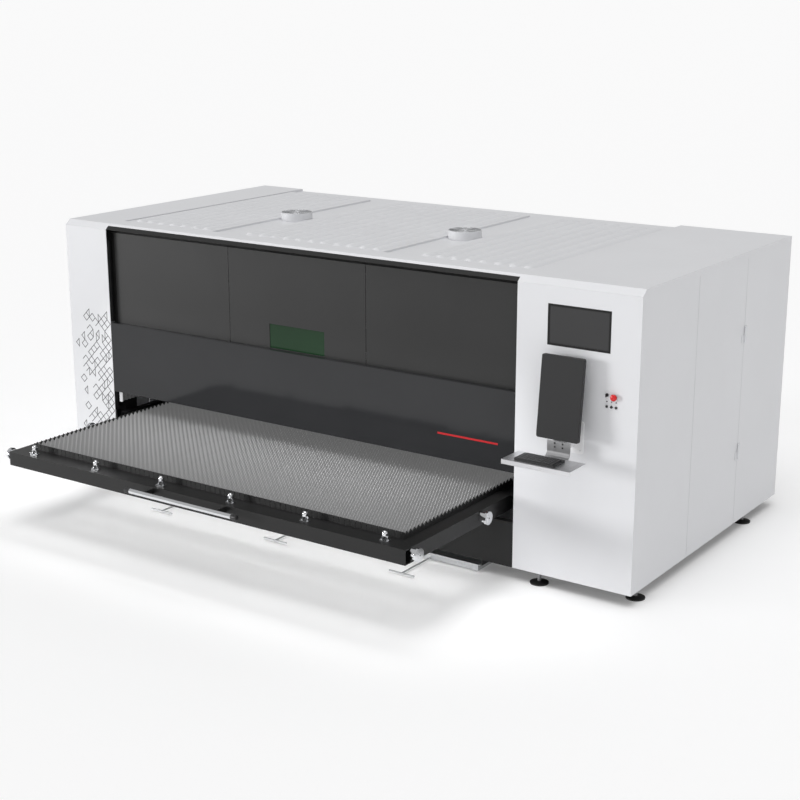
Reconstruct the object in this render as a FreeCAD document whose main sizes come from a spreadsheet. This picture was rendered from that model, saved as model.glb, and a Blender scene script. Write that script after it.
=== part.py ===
import FreeCAD, Part
import math
import os
import re

import Sketcher

# A flat-bed fibre laser cutter in a closed cabin. The front plane of the cabin faces -Y, the bed
# slides out through it, and the floor is at Z = 0. The origin is the bottom centre of its box.

SIZES = {
    # cabin
    "body_width": 4600.0, "body_depth": 2256.0, "front_y": -565.0, "floor_gap": 80.0,
    "panel_top": 1880.0, "lid_rise": 38.0, "lid_setback": 44.0, "sheet_wall": 3.0,
    "left_width": 405.0, "right_width": 812.0, "seam_gap": 3.0,
    "side_seam_front": 768.0, "side_seam_rear": 1512.0,
    # welded structure
    "frame_tube": 100.0, "frame_wall": 6.0, "post_tube": 80.0, "post_wall": 5.0,
    "post_offset": 105.0, "top_setback": 48.0,
    # levelling feet
    "foot_radius": 59.0, "foot_thick": 16.0, "stud_radius": 12.0, "nut_radius": 22.0, "nut_thick": 18.0,
    # dark front
    "recess_depth": 45.0, "door_top": 1204.0, "door_bottom": 694.0, "door_thick": 35.0,
    "door_gap": 2.0, "upper_bottom": 1080.0, "upper_top": 1858.0, "seam_first": -795.0,
    "seam_second": 350.0, "window_x": -448.0, "window_z": 1209.0, "window_width": 460.0,
    "window_height": 164.0, "bezel_width": 30.0, "bezel_front": 41.0, "lower_top": 374.0,
    "ledge_depth": 40.0, "column_radius": 20.0, "column_offset": 45.0, "column_setback": 60.0,
    "column_bottom": 560.0, "slide_clear": 0.3, "shoe_height": 80.0,
    # sliding bed
    "table_reach": 1067.0, "table_side_gap": 68.5, "bar_bottom": 424.0, "bar_height": 91.0,
    "bar_deep": 60.0, "rail_wide": 50.0, "tube_wall": 5.0, "bed_length": 1530.0,
    "bed_side_gap": 98.0, "bed_margin": 134.0, "bed_top": 564.0, "bearer_height": 46.0,
    "apron_thick": 3.0, "slat_thick": 3.0, "slat_pitch": 40.0,
    "tooth_count": 38, "tooth_height": 22.0, "comb_thick": 6.0, "comb_drop": 4.0, "slot_clear": 1.0,
    "tab_length": 14.0,
    # bed rollers, their rails and the rear guide blocks
    "roller_radius": 41.0, "hub_radius": 33.0, "flange_thick": 16.0, "hub_length": 38.0,
    "axle_radius": 10.0, "running_clear": 0.05, "roller_z": 480.0, "roller_first": 62.0,
    "roller_pitch": 740.0, "roller_gap": 3.0, "rail_clear": 0.3, "rail_web": 6.0, "rail_inset": 5.0,
    "rail_flange": 46.0, "stand_width": 50.0, "table_rail_back": 2150.0,
    # pull handle and loading balls
    "handle_radius": 16.0, "handle_length": 900.0, "handle_reach": 83.0, "handle_z": 495.0,
    "arm_spacing": 600.0, "arm_thick": 12.0, "ball_radius": 16.0, "ball_end": 183.0,
    "ball_inset": 62.0, "ball_lift": 45.0,
    # slag trays
    "tray_gap": 293.0, "tray_margin": 332.0, "tray_shift": 74.0, "tray_length": 1700.0,
    "tray_front": -15.0, "tray_bottom": 8.0, "tray_height": 42.0, "tray_wall": 3.0,
    "tray_lip": 14.0, "pull_length": 320.0, "pull_bar": 190.0, "pull_radius": 6.0, "runner_wall": 4.0,
    # gantry and cutting head
    "beam_bottom": 700.0, "beam_height": 140.0, "beam_deep": 120.0, "beam_front": 110.0,
    "beam_rear": 2000.0, "beam_end": 95.0, "beam_wall": 8.0, "guide_wide": 24.0,
    "guide_high": 20.0, "gantry_park": 190.0, "gantry_wide": 160.0, "gantry_high": 160.0,
    "truck_length": 184.0, "truck_high": 50.0, "head_y": 1050.0, "carriage_wide": 240.0,
    "carriage_thick": 24.0, "nozzle_z": 640.0, "head_radius": 45.0,
    # operator station
    "screen_x": 210.0, "screen_z": 1450.0, "screen_width": 409.0, "screen_height": 243.0,
    "mount_x": 362.0, "wall_plate_width": 214.0, "wall_plate_height": 200.0,
    "wall_plate_z": 898.0, "wall_plate_thick": 6.0, "bracket_width": 154.0,
    "bracket_setback": 110.0, "bracket_thick": 4.0, "bracket_top": 986.0, "bend_radius": 35.0,
    "shelf_width": 451.0, "shelf_depth": 198.0, "shelf_z": 893.0, "shelf_thick": 3.0,
    "shelf_lip": 28.0, "shelf_shift": 25.0, "monitor_width": 280.0, "monitor_height": 497.0,
    "monitor_thick": 22.0, "monitor_tilt": 6.0, "monitor_corner": 14.0, "monitor_bottom": 1000.0,
    "monitor_setback": 134.0, "pivot_z": 1247.0, "pivot_setback": 58.0, "pivot_radius": 6.0,
    "mount_foot_z": 940.0, "mount_foot_high": 44.0,
    "keyboard_width": 270.0, "keyboard_depth": 132.0, "keyboard_thick": 14.0, "keyboard_inset": 72.0, "key_size": 16.0,
    "key_pitch": 20.0, "key_rows": 6, "key_columns": 12,
    "stop_x": 660.0, "stop_z": 1196.0, "stop_radius": 20.0, "key_x": 610.0, "key_z": 1203.0,
    "lamp_z": 1164.0, "button_z": 1134.0, "button_x": 610.0, "button_pitch": 30.0,
    "button_radius": 8.0, "button_hole": 8.0, "lamp_radius": 4.0,
    # roof
    "trim_depth": 190.0, "deck_rise": 20.0, "rib_panel_front": 200.0, "rib_panel_length": 1890.0,
    "rib_width": 70.0, "rib_height": 14.0, "rib_wall": 2.0, "rib_pitch": 106.0, "rib_rim": 10.0,
    "fan_radius": 114.0, "fan_height": 60.0, "fan_y": 1015.0, "fan_left_x": -972.0,
    "fan_right_x": 475.0, "fan_gap": 2.0, "fan_axle": 8.0, "blade_count": 7,
    # pleated side curtains
    "curtain_pleats": 36, "curtain_pitch": 36.0, "curtain_depth": 11.0, "curtain_wall": 3.0,
    "curtain_bottom": 605.0, "curtain_start": 60.0, "curtain_inset": 6.0, "curtain_bar": 20.0,
    # service door
    "barrel_radius": 7.0, "barrel_length": 105.0, "hinge_pin": 4.0, "hinge_low": 506.0,
    "hinge_high": 1299.0,
    # services
    "equipment_inset": 12.0, "box_wall": 4.0, "cabinet_y": 1500.0, "cabinet_deep": 490.0, "cabinet_high": 1400.0,
    "source_y": 780.0, "source_deep": 700.0, "source_high": 520.0,
    "flange_radius": 190.0, "duct_radius": 150.0, "duct_wall": 3.0, "duct_z": 1400.0,
    "duct_x": -900.0, "spigot_length": 40.0,
}

# sizes that follow from others, in the order that they are worked out
FOLLOWING = {
    "table_half": "(body_width - left_width - right_width) / 2 - table_side_gap",
    "bed_half": "table_half - bed_side_gap",
    "ball_spacing": "(2 * table_half - 2 * ball_end) / 5",
    "tray_pitch": "(body_width - left_width - right_width - tray_margin) / 3",
    "tray_width": "tray_pitch - tray_gap",
}

# named places worked out from the sizes, as expressions
LEFT = "(-body_width / 2)"
RIGHT = "(body_width / 2)"
OPEN_L = "(-body_width / 2 + left_width)"
OPEN_R = "(body_width / 2 - right_width)"
OPEN_W = "(body_width - left_width - right_width)"
MID = "((left_width - right_width) / 2)"
FRONT = "front_y"
BACK = "(front_y + body_depth)"
INNER_BACK = "(front_y + body_depth - sheet_wall)"
PANEL_H = "(panel_top - floor_gap)"
FRAME_TOP = "(floor_gap + frame_tube)"
POST_TOP = "(panel_top - post_tube)"
BAR_TOP = "(bar_bottom + bar_height)"
BAR_FRONT = "(front_y - table_reach)"
BED_FRONT = "(front_y - table_reach + bed_margin)"
TABLE_LENGTH = "(bed_length + 2 * bed_margin)"
COMB_FOOT = "(bar_bottom + bar_height + apron_thick)"
BEAM_TOP = "(beam_bottom + beam_height)"
GUIDE_TOP = "(beam_bottom + beam_height + guide_high)"
GANTRY_X = "(-body_width / 2 + left_width + gantry_park)"
GANTRY_Z = "(beam_bottom + beam_height + guide_high + truck_high + 0.5)"
MOUNT_X = "(body_width / 2 - right_width + mount_x)"
DECK_TOP = "(panel_top + deck_rise)"
TRAY_TOP = "(tray_bottom + tray_height)"

doc = FreeCAD.newDocument("fibre_laser_cutter")
sheet = doc.addObject("Spreadsheet::Sheet", "Sizes")
subparts = []
counts = {}


def fill_sheet():
    entries = {alias: repr(value) for alias, value in SIZES.items()}
    entries.update({alias: "=" + text for alias, text in FOLLOWING.items()})
    for row, (alias, text) in enumerate(entries.items(), start=1):
        sheet.set("A%d" % row, alias)
        sheet.set("B%d" % row, text)
        sheet.setAlias("B%d" % row, alias)
    doc.recompute()


def cells(text):
    """The expression with each size name turned into its cell."""
    def cell(match):
        name = match.group(0)
        return "Sizes." + name if name in SIZES or name in FOLLOWING else name

    return re.sub(r"[a-z_]+", cell, str(text))


def number(text):
    """The present value of an expression."""
    return float(sheet.evalExpression(cells(text)))


def fresh(stem):
    """A name for an inner object that no other object has."""
    counts[stem] = counts.get(stem, 0) + 1
    return "%s_piece_%d" % (stem, counts[stem])


def put(obj, corner):
    for axis, text in zip("xyz", corner):
        obj.setExpression("Placement.Base." + axis, cells(text))


def keep(obj, label):
    """Make an object a sub-part, with the label that names its file."""
    obj.Label = label
    subparts.append(obj)
    return obj


# ---- building blocks ----

def block(stem, corner, size):
    obj = doc.addObject("Part::Box", fresh(stem))
    for prop, text in zip(("Length", "Width", "Height"), size):
        obj.setExpression(prop, cells(text))
    put(obj, corner)
    return obj


ALONG = {
    "x": FreeCAD.Rotation(FreeCAD.Vector(0, 1, 0), 90),
    "y": FreeCAD.Rotation(FreeCAD.Vector(1, 0, 0), -90),
    "z": FreeCAD.Rotation(),
}


def rod(stem, start, radius, length, along="z"):
    obj = doc.addObject("Part::Cylinder", fresh(stem))
    obj.setExpression("Radius", cells(radius))
    obj.setExpression("Height", cells(length))
    obj.Placement = FreeCAD.Placement(FreeCAD.Vector(), ALONG[along])
    put(obj, start)
    return obj


def cone(stem, start, low_radius, high_radius, length, along="z"):
    obj = doc.addObject("Part::Cone", fresh(stem))
    obj.setExpression("Radius1", cells(low_radius))
    obj.setExpression("Radius2", cells(high_radius))
    obj.setExpression("Height", cells(length))
    obj.Placement = FreeCAD.Placement(FreeCAD.Vector(), ALONG[along])
    put(obj, start)
    return obj


def fuse(stem, pieces):
    obj = doc.addObject("Part::MultiFuse", fresh(stem))
    obj.Shapes = pieces
    return obj


def cut(stem, base, tools):
    obj = doc.addObject("Part::Cut", fresh(stem))
    obj.Base = base
    obj.Tool = tools[0] if len(tools) == 1 else group(stem, tools)
    return obj


def group(stem, pieces):
    obj = doc.addObject("Part::Compound", fresh(stem))
    obj.Links = pieces
    return obj


def shape_object(stem, shape):
    """A solid that the part's own functions make, which no sketch or primitive covers."""
    obj = doc.addObject("Part::Feature", fresh(stem))
    obj.Shape = shape
    obj.Placement = FreeCAD.Placement()
    return obj


def shape_part(label, shape):
    return keep(shape_object(label, shape), label)


def tube(stem, corner, size, wall, along):
    """A square tube: a block with its bore cut through along one axis."""
    outer = block(stem, corner, size)
    inner_corner = []
    inner_size = []
    for axis, low, span in zip("xyz", corner, size):
        if axis == along:
            inner_corner.append(low)
            inner_size.append(span)
        else:
            inner_corner.append("%s + %s" % (low, wall))
            inner_size.append("%s - 2 * %s" % (span, wall))
    return cut(stem, outer, [block(stem, inner_corner, inner_size)])


# How a sketch's plane lies: facing the front, facing the side, or flat.
FACING = {
    "front": FreeCAD.Rotation(FreeCAD.Vector(1, 0, 0), 90),
    "side": FreeCAD.Rotation(FreeCAD.Vector(1, 1, 1), 120),
    "flat": FreeCAD.Rotation(),
}


def pin_point(sketch, geometry, end, point):
    """Hold one end of a sketch line, or a circle's centre, at a driven point."""
    for axis, text in zip(("DistanceX", "DistanceY"), point):
        if number(text) == 0:
            sketch.addConstraint(Sketcher.Constraint(
                "PointOnObject", geometry, end, -2 if axis == "DistanceX" else -1))
            continue
        index = sketch.addConstraint(Sketcher.Constraint(axis, -1, 1, geometry, end, number(text)))
        sketch.setExpression("Constraints[%d]" % index, cells(text))


def draw_outline(sketch, points):
    first = sketch.GeometryCount
    vectors = [FreeCAD.Vector(number(u), number(v), 0) for u, v in points]
    for start, end in zip(vectors, vectors[1:] + vectors[:1]):
        sketch.addGeometry(Part.LineSegment(start, end), False)
    for step in range(len(points)):
        follower = first + (step + 1) % len(points)
        sketch.addConstraint(Sketcher.Constraint("Coincident", first + step, 2, follower, 1))
    for step, point in enumerate(points):
        pin_point(sketch, first + step, 1, point)


def draw_circle(sketch, centre, radius):
    middle = FreeCAD.Vector(number(centre[0]), number(centre[1]), 0)
    index = sketch.addGeometry(Part.Circle(middle, FreeCAD.Vector(0, 0, 1), number(radius)), False)
    pin_point(sketch, index, 3, centre)
    held = sketch.addConstraint(Sketcher.Constraint("Radius", index, number(radius)))
    sketch.setExpression("Constraints[%d]" % held, cells(radius))


def rectangle(u, v, width, height):
    return [(u, v), ("%s + %s" % (u, width), v), ("%s + %s" % (u, width), "%s + %s" % (v, height)),
            (u, "%s + %s" % (v, height))]


def profile(stem, facing, corner, outlines, length, circles=(), rounding=None):
    """A body padded from one sketch. corner is the low corner of the padded solid."""
    body = doc.addObject("PartDesign::Body", fresh(stem))
    plane = next(f for f in body.Origin.OriginFeatures if f.Role == "XY_Plane")
    sketch = body.newObject("Sketcher::SketchObject", fresh(stem))
    sketch.AttachmentSupport = [(plane, "")]
    sketch.MapMode = "FlatFace"
    for outline in outlines:
        draw_outline(sketch, outline)
    for centre, radius in circles:
        draw_circle(sketch, centre, radius)
    pad = body.newObject("PartDesign::Pad", fresh(stem))
    pad.Profile = sketch
    pad.setExpression("Length", cells(length))
    body.Placement = FreeCAD.Placement(FreeCAD.Vector(), FACING[facing])
    x, y, z = corner
    if facing == "front":
        y = "%s + %s" % (y, length)
    put(body, (x, y, z))
    if rounding:
        doc.recompute()
        round_corners(body, pad, rounding, stem)
    return body


def round_corners(body, pad, radius, stem):
    """Fillet the edges that run through the thickness of the padded plate's outline."""
    length = pad.Length.Value
    names = []
    for position, edge in enumerate(pad.Shape.Edges, start=1):
        direction = edge.tangentAt(edge.FirstParameter)
        if abs(edge.Length - length) < 1e-6 and abs(abs(direction.z) - 1) < 1e-6:
            names.append("Edge%d" % position)
    fillet = body.newObject("PartDesign::Fillet", fresh(stem))
    fillet.Base = (pad, names)
    fillet.setExpression("Radius", cells(radius))


def plate(stem, facing, corner, width, height, thickness="sheet_wall", windows=(), circles=(),
          rounding=None):
    outlines = [rectangle("0", "0", width, height)] + [rectangle(*window) for window in windows]
    return profile(stem, facing, corner, outlines, thickness, circles, rounding)


def beside(side, near, far):
    """Low x and width of a span between two distances from the opening's middle, on one side."""
    low = "%s + %s" % (MID, near) if side > 0 else "%s - (%s)" % (MID, far)
    return low, "(%s) - (%s)" % (far, near)


# ---- welded structure ----

def make_base_frame():
    run = "body_depth - 2 * sheet_wall - 2 * frame_tube"
    side_y = "front_y + sheet_wall + frame_tube"
    members = []
    for y in ("front_y + sheet_wall", "%s - frame_tube" % INNER_BACK):
        members.append(tube("base", ("%s + sheet_wall" % LEFT, y, "floor_gap"),
                            ("body_width - 2 * sheet_wall", "frame_tube", "frame_tube"),
                            "frame_wall", "x"))
    tray_gap = "tray_pitch / 2"
    lines = ["%s + sheet_wall" % LEFT, "%s - frame_tube / 2" % OPEN_L,
             "%s + tray_shift - %s - frame_tube / 2" % (MID, tray_gap),
             "%s + tray_shift + %s - frame_tube / 2" % (MID, tray_gap),
             "%s - frame_tube / 2" % OPEN_R, "%s - sheet_wall - frame_tube" % RIGHT]
    for x in lines:
        members.append(tube("base", (x, side_y, "floor_gap"), ("frame_tube", run, "frame_tube"),
                            "frame_wall", "y"))
    return members


def foot_places():
    inner = "frame_tube / 2 + sheet_wall"
    near_front = "front_y + " + inner
    near_back = "%s - (%s)" % (BACK, inner)
    gap_left = "%s + tray_shift - tray_pitch / 2" % MID
    gap_right = "%s + tray_shift + tray_pitch / 2" % MID
    edge_left = "%s + %s" % (LEFT, inner)
    edge_right = "%s - (%s)" % (RIGHT, inner)
    places = []
    for x in (edge_left, edge_right):
        places.append((x, "front_y + 175"))
        places.append((x, "front_y + 1800"))
    for x in ("%s - 55" % OPEN_L, "%s + 165" % OPEN_R):
        places.append((x, near_front))
        places.append((x, near_back))
    for x in (gap_left, gap_right):
        places.append((x, "front_y + body_depth / 2"))
        places.append((x, near_back))
    return places


def make_feet():
    pieces = []
    for x, y in foot_places():
        rim = rod("foot", (x, y, "0"), "foot_radius", "foot_thick / 2")
        crown = cone("foot", (x, y, "foot_thick / 2"), "foot_radius", "nut_radius", "foot_thick / 2")
        pieces.append(fuse("foot", [rim, crown]))
        pieces.append(rod("stud", (x, y, "foot_thick"), "stud_radius", "floor_gap - foot_thick"))
        outer = doc.addObject("Part::Prism", fresh("nut"))
        outer.Polygon = 6
        outer.setExpression("Circumradius", cells("nut_radius"))
        outer.setExpression("Height", cells("nut_thick"))
        put(outer, (x, y, "floor_gap - nut_thick"))
        bore = rod("nut", (x, y, "floor_gap - nut_thick"), "stud_radius", "nut_thick")
        pieces.append(cut("nut", outer, [bore]))
    keep(group("foot", pieces), "levelling_feet")


def make_posts():
    posts = []
    height = "%s - %s" % (POST_TOP, FRAME_TOP)
    for x in ("%s + sheet_wall" % LEFT, "%s - post_offset - post_tube" % OPEN_L,
              "%s + post_offset" % OPEN_R, "%s - sheet_wall - post_tube" % RIGHT):
        for y in ("front_y + sheet_wall", "%s - post_tube" % INNER_BACK):
            posts.append(tube("post", (x, y, FRAME_TOP), ("post_tube", "post_tube", height),
                              "post_wall", "z"))
    return posts


def make_top_frame():
    members = []
    for y in ("front_y + top_setback", "%s - post_tube" % INNER_BACK):
        members.append(tube("top", ("%s + sheet_wall" % LEFT, y, POST_TOP),
                            ("body_width - 2 * sheet_wall", "post_tube", "post_tube"),
                            "post_wall", "x"))
    run = "body_depth - sheet_wall - top_setback - 2 * post_tube"
    for x in ("%s + sheet_wall" % LEFT, "%s - post_offset - post_tube" % OPEN_L,
              "%s + post_offset" % OPEN_R, "%s - sheet_wall - post_tube" % RIGHT):
        members.append(tube("top", (x, "front_y + top_setback + post_tube", POST_TOP),
                            ("post_tube", run, "post_tube"), "post_wall", "y"))
    keep(group("cabin", make_posts() + members), "cabin_frame")


# ---- cabin skin ----

def make_front_panels():
    keep(plate("left_front", "front", (LEFT, FRONT, "floor_gap"), "left_width", PANEL_H),
         "left_front_panel")
    holes = [(("stop_x", "stop_z"), "button_radius + 3"), (("key_x", "key_z"), "button_hole")]
    for step in range(3):
        across = "button_x + %d * button_pitch" % step
        holes.append(((across, "button_z"), "button_hole"))
        holes.append(((across, "lamp_z"), "lamp_radius + running_clear"))
    keep(plate("right_front", "front", (OPEN_R, FRONT, "floor_gap"), "right_width", PANEL_H,
               windows=[("screen_x", "screen_z", "screen_width", "screen_height")], circles=holes),
         "right_front_panel")


def side_plate(stem, x, y_low, y_high):
    start = "%s + %s" % (FRONT, y_low)
    return plate(stem, "side", (x, start, "floor_gap"), "(%s) - (%s)" % (y_high, y_low), PANEL_H)


def make_side_panels():
    right_x = "%s - sheet_wall" % RIGHT
    right = [side_plate("right_side", right_x, "sheet_wall", "side_seam_front"),
             side_plate("right_side", right_x, "side_seam_front + seam_gap", "side_seam_rear")]
    keep(group("right_side", right + make_service_door()), "right_side_panels")
    left = [side_plate("left_side", LEFT, "sheet_wall", "side_seam_front"),
            side_plate("left_side", LEFT, "side_seam_front + seam_gap", "side_seam_rear"),
            side_plate("left_side", LEFT, "side_seam_rear + seam_gap", "body_depth - sheet_wall")]
    keep(group("left_side", left), "left_side_panels")


def make_rear_panels():
    quarter = "(body_width / 4)"
    y = "%s" % INNER_BACK
    panels = []
    for step in range(4):
        low = "%s + %d * %s" % (LEFT, step, quarter)
        width = "%s - seam_gap" % quarter if step < 3 else quarter
        circles = []
        if step == 1:
            circles = [(("duct_x - (%s)" % low, "duct_z - floor_gap"), "duct_radius + running_clear")]
        panels.append(plate("rear", "front", (low, y, "floor_gap"), width, PANEL_H, circles=circles))
    keep(group("rear", panels), "rear_panels")


def cap_profile(depth, rise, setback):
    """Section of a folded roof cap: sloping front edge, top and rear edge, one sheet thick."""
    inner = "%s - sheet_wall" % rise
    return [("0", "0"), (setback, rise), (depth, rise), (depth, "0"),
            ("%s - sheet_wall" % depth, "0"), ("%s - sheet_wall" % depth, inner),
            ("%s + sheet_wall" % setback, inner), ("2 * sheet_wall", "0")]


def make_cap(label, x, width, y, depth, rise, setback):
    """A folded cap with a closed end at each side."""
    body = profile(label, "side", (x, y, "panel_top"), [cap_profile(depth, rise, setback)], width)
    end_outline = [("0", "0"), (setback, rise), (depth, rise), (depth, "0")]
    ends = [profile(label, "side", (place, y, "panel_top"), [end_outline], "sheet_wall")
            for place in (x, "%s + %s - sheet_wall" % (x, width))]
    return fuse(label, [body] + ends)


def make_roof():
    lids = [make_cap("lid", LEFT, "left_width", FRONT, "body_depth", "lid_rise", "lid_setback"),
            make_cap("lid", OPEN_R, "right_width", FRONT, "body_depth", "lid_rise", "lid_setback"),
            make_cap("lid", OPEN_L, OPEN_W, FRONT, "trim_depth", "lid_rise", "lid_setback")]
    keep(group("lid", lids), "roof_lids")
    keep(make_cap("deck", OPEN_L, OPEN_W, "front_y + trim_depth", "body_depth - trim_depth",
                  "deck_rise", "2 * sheet_wall"), "roof_deck")


def capsule(x, y_front, y_rear, z, radius):
    """A round bar along Y with ball ends."""
    run = y_rear - y_front
    bar = Part.makeCylinder(radius, run, FreeCAD.Vector(x, y_front, z), FreeCAD.Vector(0, 1, 0))
    for y in (y_front, y_rear):
        bar = bar.fuse(Part.makeSphere(radius, FreeCAD.Vector(x, y, z)))
    return bar.removeSplitter()


def ribbed_panel(x_low, x_high):
    """A pressed roof sheet on a folded rim, whose hollow ribs have rounded ends."""
    base = number(DECK_TOP)
    rim = number("rib_rim")
    wall = number("rib_wall")
    half = number("rib_width / 2")
    rise = number("rib_height")
    radius = (half * half + rise * rise) / (2 * rise)
    y_low = number("front_y + rib_panel_front")
    length = number("rib_panel_length")
    pitch = number("rib_pitch")
    width = x_high - x_low
    count = int((width - 2 * wall) // pitch)
    top = base + rim
    outer = Part.makeBox(width, length, rim + wall, FreeCAD.Vector(x_low, y_low, base))
    inner = Part.makeBox(width - 2 * wall, length - 2 * wall, rim,
                         FreeCAD.Vector(x_low + wall, y_low + wall, base))
    above = Part.makeBox(width, length, 2 * rise, FreeCAD.Vector(x_low, y_low, top + wall))
    below = Part.makeBox(width, length, 2 * rise, FreeCAD.Vector(x_low, y_low, top))
    shell = outer.cut(inner)
    hollows = []
    for step in range(count):
        x = x_low + width / 2 + (step - (count - 1) / 2) * pitch
        z = top + wall + rise - radius
        ends = (y_low + 2 * half, y_low + length - 2 * half)
        shell = shell.fuse(capsule(x, ends[0], ends[1], z, radius).common(above))
        hollows.append(capsule(x, ends[0], ends[1], z, radius - wall).common(below))
    return shell.cut(Part.makeCompound(hollows)).removeSplitter()


def make_ribbed_panels():
    """Three panels that fill the roof between the lids, with a flat strip for each fan."""
    reach = number("fan_radius + fan_gap")
    left, right = number("fan_left_x"), number("fan_right_x")
    spans = [(number(OPEN_L) + number("seam_gap"), left - reach), (left + reach, right - reach),
             (right + reach, number(OPEN_R) - number("seam_gap"))]
    panels = [ribbed_panel(low, high) for low, high in spans]
    shape_part("roof_ribbed_panels", Part.makeCompound(panels))


def make_fans():
    guards = []
    for side, x in (("left", "fan_left_x"), ("right", "fan_right_x")):
        y = "front_y + fan_y"
        base = DECK_TOP
        ring = cut("fan", rod("fan", (x, y, base), "fan_radius", "fan_height"),
                   [rod("fan", (x, y, "%s - 1" % base), "fan_radius - 4", "fan_height + 2")])
        bars = [block("fan", ("%s - fan_radius + 2" % x, "%s - 3" % y, "%s + fan_height - 6" % base),
                      ("2 * fan_radius - 4", "6", "6")),
                block("fan", ("%s - 3" % x, "%s - fan_radius + 2" % y, "%s + fan_height - 6" % base),
                      ("6", "2 * fan_radius - 4", "6"))]
        hub = rod("fan", (x, y, "%s + 8" % base), "fan_axle", "fan_height - 8")
        guards.append(fuse("fan", [ring] + bars + [hub]))
        impeller(side, x, y, base)
    keep(group("fan", guards), "fan_guards")


def impeller(side, x, y, base):
    """A hub with flat twisted blades, turning on the guard's stub."""
    centre = FreeCAD.Vector(number(x), number(y), number(base))
    low = 4
    hub = Part.makeCylinder(32, 24, centre + FreeCAD.Vector(0, 0, low))
    reach = number("fan_radius") - 12
    wheel = hub
    count = int(number("blade_count"))
    for step in range(count):
        blade = Part.makeBox(reach - 26, 38, 2.5, FreeCAD.Vector(26, -19, 0))
        blade.rotate(FreeCAD.Vector(0, 0, 0), FreeCAD.Vector(1, 0, 0), 25)
        blade.rotate(FreeCAD.Vector(0, 0, 0), FreeCAD.Vector(0, 0, 1), step * 360.0 / count)
        blade.translate(centre + FreeCAD.Vector(0, 0, low + 11))
        wheel = wheel.fuse(blade)
    bore = Part.makeCylinder(number("fan_axle + running_clear"), 60, centre)
    wheel = wheel.cut(bore).removeSplitter()
    shape_part("fan_impeller_" + side, wheel)


# ---- dark front ----

def make_upper_panels():
    y = "front_y + recess_depth"
    height = "upper_top - upper_bottom"
    left = plate("upper", "front", (OPEN_L, y, "upper_bottom"),
                 "seam_first - seam_gap - (%s)" % OPEN_L, height)
    opening = ("window_x - seam_first", "window_z - upper_bottom", "window_width", "window_height")
    middle = plate("upper", "front", ("seam_first", y, "upper_bottom"),
                   "seam_second - seam_gap - seam_first", height, windows=[opening])
    right = plate("upper", "front", ("seam_second", y, "upper_bottom"),
                  "%s - seam_second" % OPEN_R, height)
    keep(group("upper", [left, middle, right]), "upper_panels")
    keep(block("window", ("window_x - 15", "front_y + recess_depth + sheet_wall", "window_z - 15"),
               ("window_width + 30", "4", "window_height + 30")), "viewing_window")
    frame_y = "front_y + recess_depth + sheet_wall"
    return plate("gasket", "front", ("window_x - 30", frame_y, "window_z - 30"),
                 "window_width + 60", "window_height + 60", "8",
                 windows=[("15", "15", "window_width + 30", "window_height + 30")])


def make_bezel():
    top = profile("bezel", "side", (OPEN_L, "front_y + 2", "upper_top - sheet_wall"),
                  [[("0", "panel_top - upper_top + sheet_wall"), ("recess_depth - 4", "0"),
                    ("recess_depth - 2", "0"), ("recess_depth - 2", "panel_top - upper_top + sheet_wall")]],
                  OPEN_W)
    strip = block("bezel", (OPEN_L, "front_y + bezel_front", "door_top"),
                  ("bezel_width", "recess_depth - bezel_front", "upper_top - door_top"))
    keep(group("bezel", [top, strip, make_upper_panels()]), "opening_trims")


def make_lower_panel():
    """The dark sheet under the opening, with a ledge welded behind its top edge."""
    sheet_part = plate("lower", "front", (OPEN_L, FRONT, "floor_gap"), OPEN_W, "(lower_top - floor_gap)")
    ledge = block("ledge", (OPEN_L, "front_y + sheet_wall", "lower_top - sheet_wall"),
                  (OPEN_W, "ledge_depth - sheet_wall", "sheet_wall"))
    keep(group("lower", [sheet_part, ledge]), "lower_panel")


def make_lift_door():
    height = "(door_top - door_bottom)"
    width = "%s - 2 * door_gap" % OPEN_W
    x = "%s + door_gap" % OPEN_L
    outline = [("0", "0"), ("door_thick", "0"), ("door_thick", "sheet_wall"), ("sheet_wall", "sheet_wall"),
               ("sheet_wall", "%s - sheet_wall" % height), ("door_thick", "%s - sheet_wall" % height),
               ("door_thick", height), ("0", height)]
    ribs = [profile("door", "side", (x, FRONT, "door_bottom"), [outline], width)]
    for step in range(1, 6):
        ribs.append(block("door_rib", ("%s + %d * (%s) / 6 - 20" % (x, step, width), "front_y + sheet_wall",
                                       "door_bottom + sheet_wall"),
                          ("40", "door_thick - sheet_wall - 4", "%s - 2 * sheet_wall" % height)))
    keep(group("door_rib", ribs), "lift_door")


def make_door_slides():
    columns = []
    brackets = []
    shoes = []
    length = "%s - column_bottom" % POST_TOP
    for side in (-1, 1):
        edge = OPEN_L if side < 0 else OPEN_R
        sign = "-" if side < 0 else "+"
        x = "%s %s column_offset" % (edge, sign)
        y = "front_y + column_setback"
        columns.append(rod("column", (x, y, "column_bottom"), "column_radius", length))
        bracket_x = "%s - post_offset" % edge if side < 0 else "%s + 20" % edge
        brackets.append(block("bracket", (bracket_x, "%s - 20" % y, "column_bottom - 20"),
                              ("post_offset - 20", "40", "20")))
        for z in ("door_bottom + sheet_wall", "door_top - sheet_wall - shoe_height"):
            arm_x = "%s - 85" % edge if side < 0 else "%s - 3" % edge
            arm = block("shoe", (arm_x, "front_y + 6", z), ("88", "28", "shoe_height"))
            pad_x = "%s + 3" % edge if side < 0 else "%s - 60" % edge
            pad = block("shoe", (pad_x, "front_y + sheet_wall", z), ("57", "31", "shoe_height"))
            block_x = "%s - 85" % edge if side < 0 else "%s + 8" % edge
            body = block("shoe", (block_x, "front_y + 34", z), ("77", "58", "shoe_height"))
            bore = rod("shoe", (x, y, "%s - 1" % z), "column_radius + slide_clear", "shoe_height + 2")
            shoes.append(cut("shoe", fuse("shoe", [arm, pad, body]), [bore]))
    keep(group("column", columns + brackets), "door_columns")
    keep(group("shoe", shoes), "door_shoes")


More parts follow.
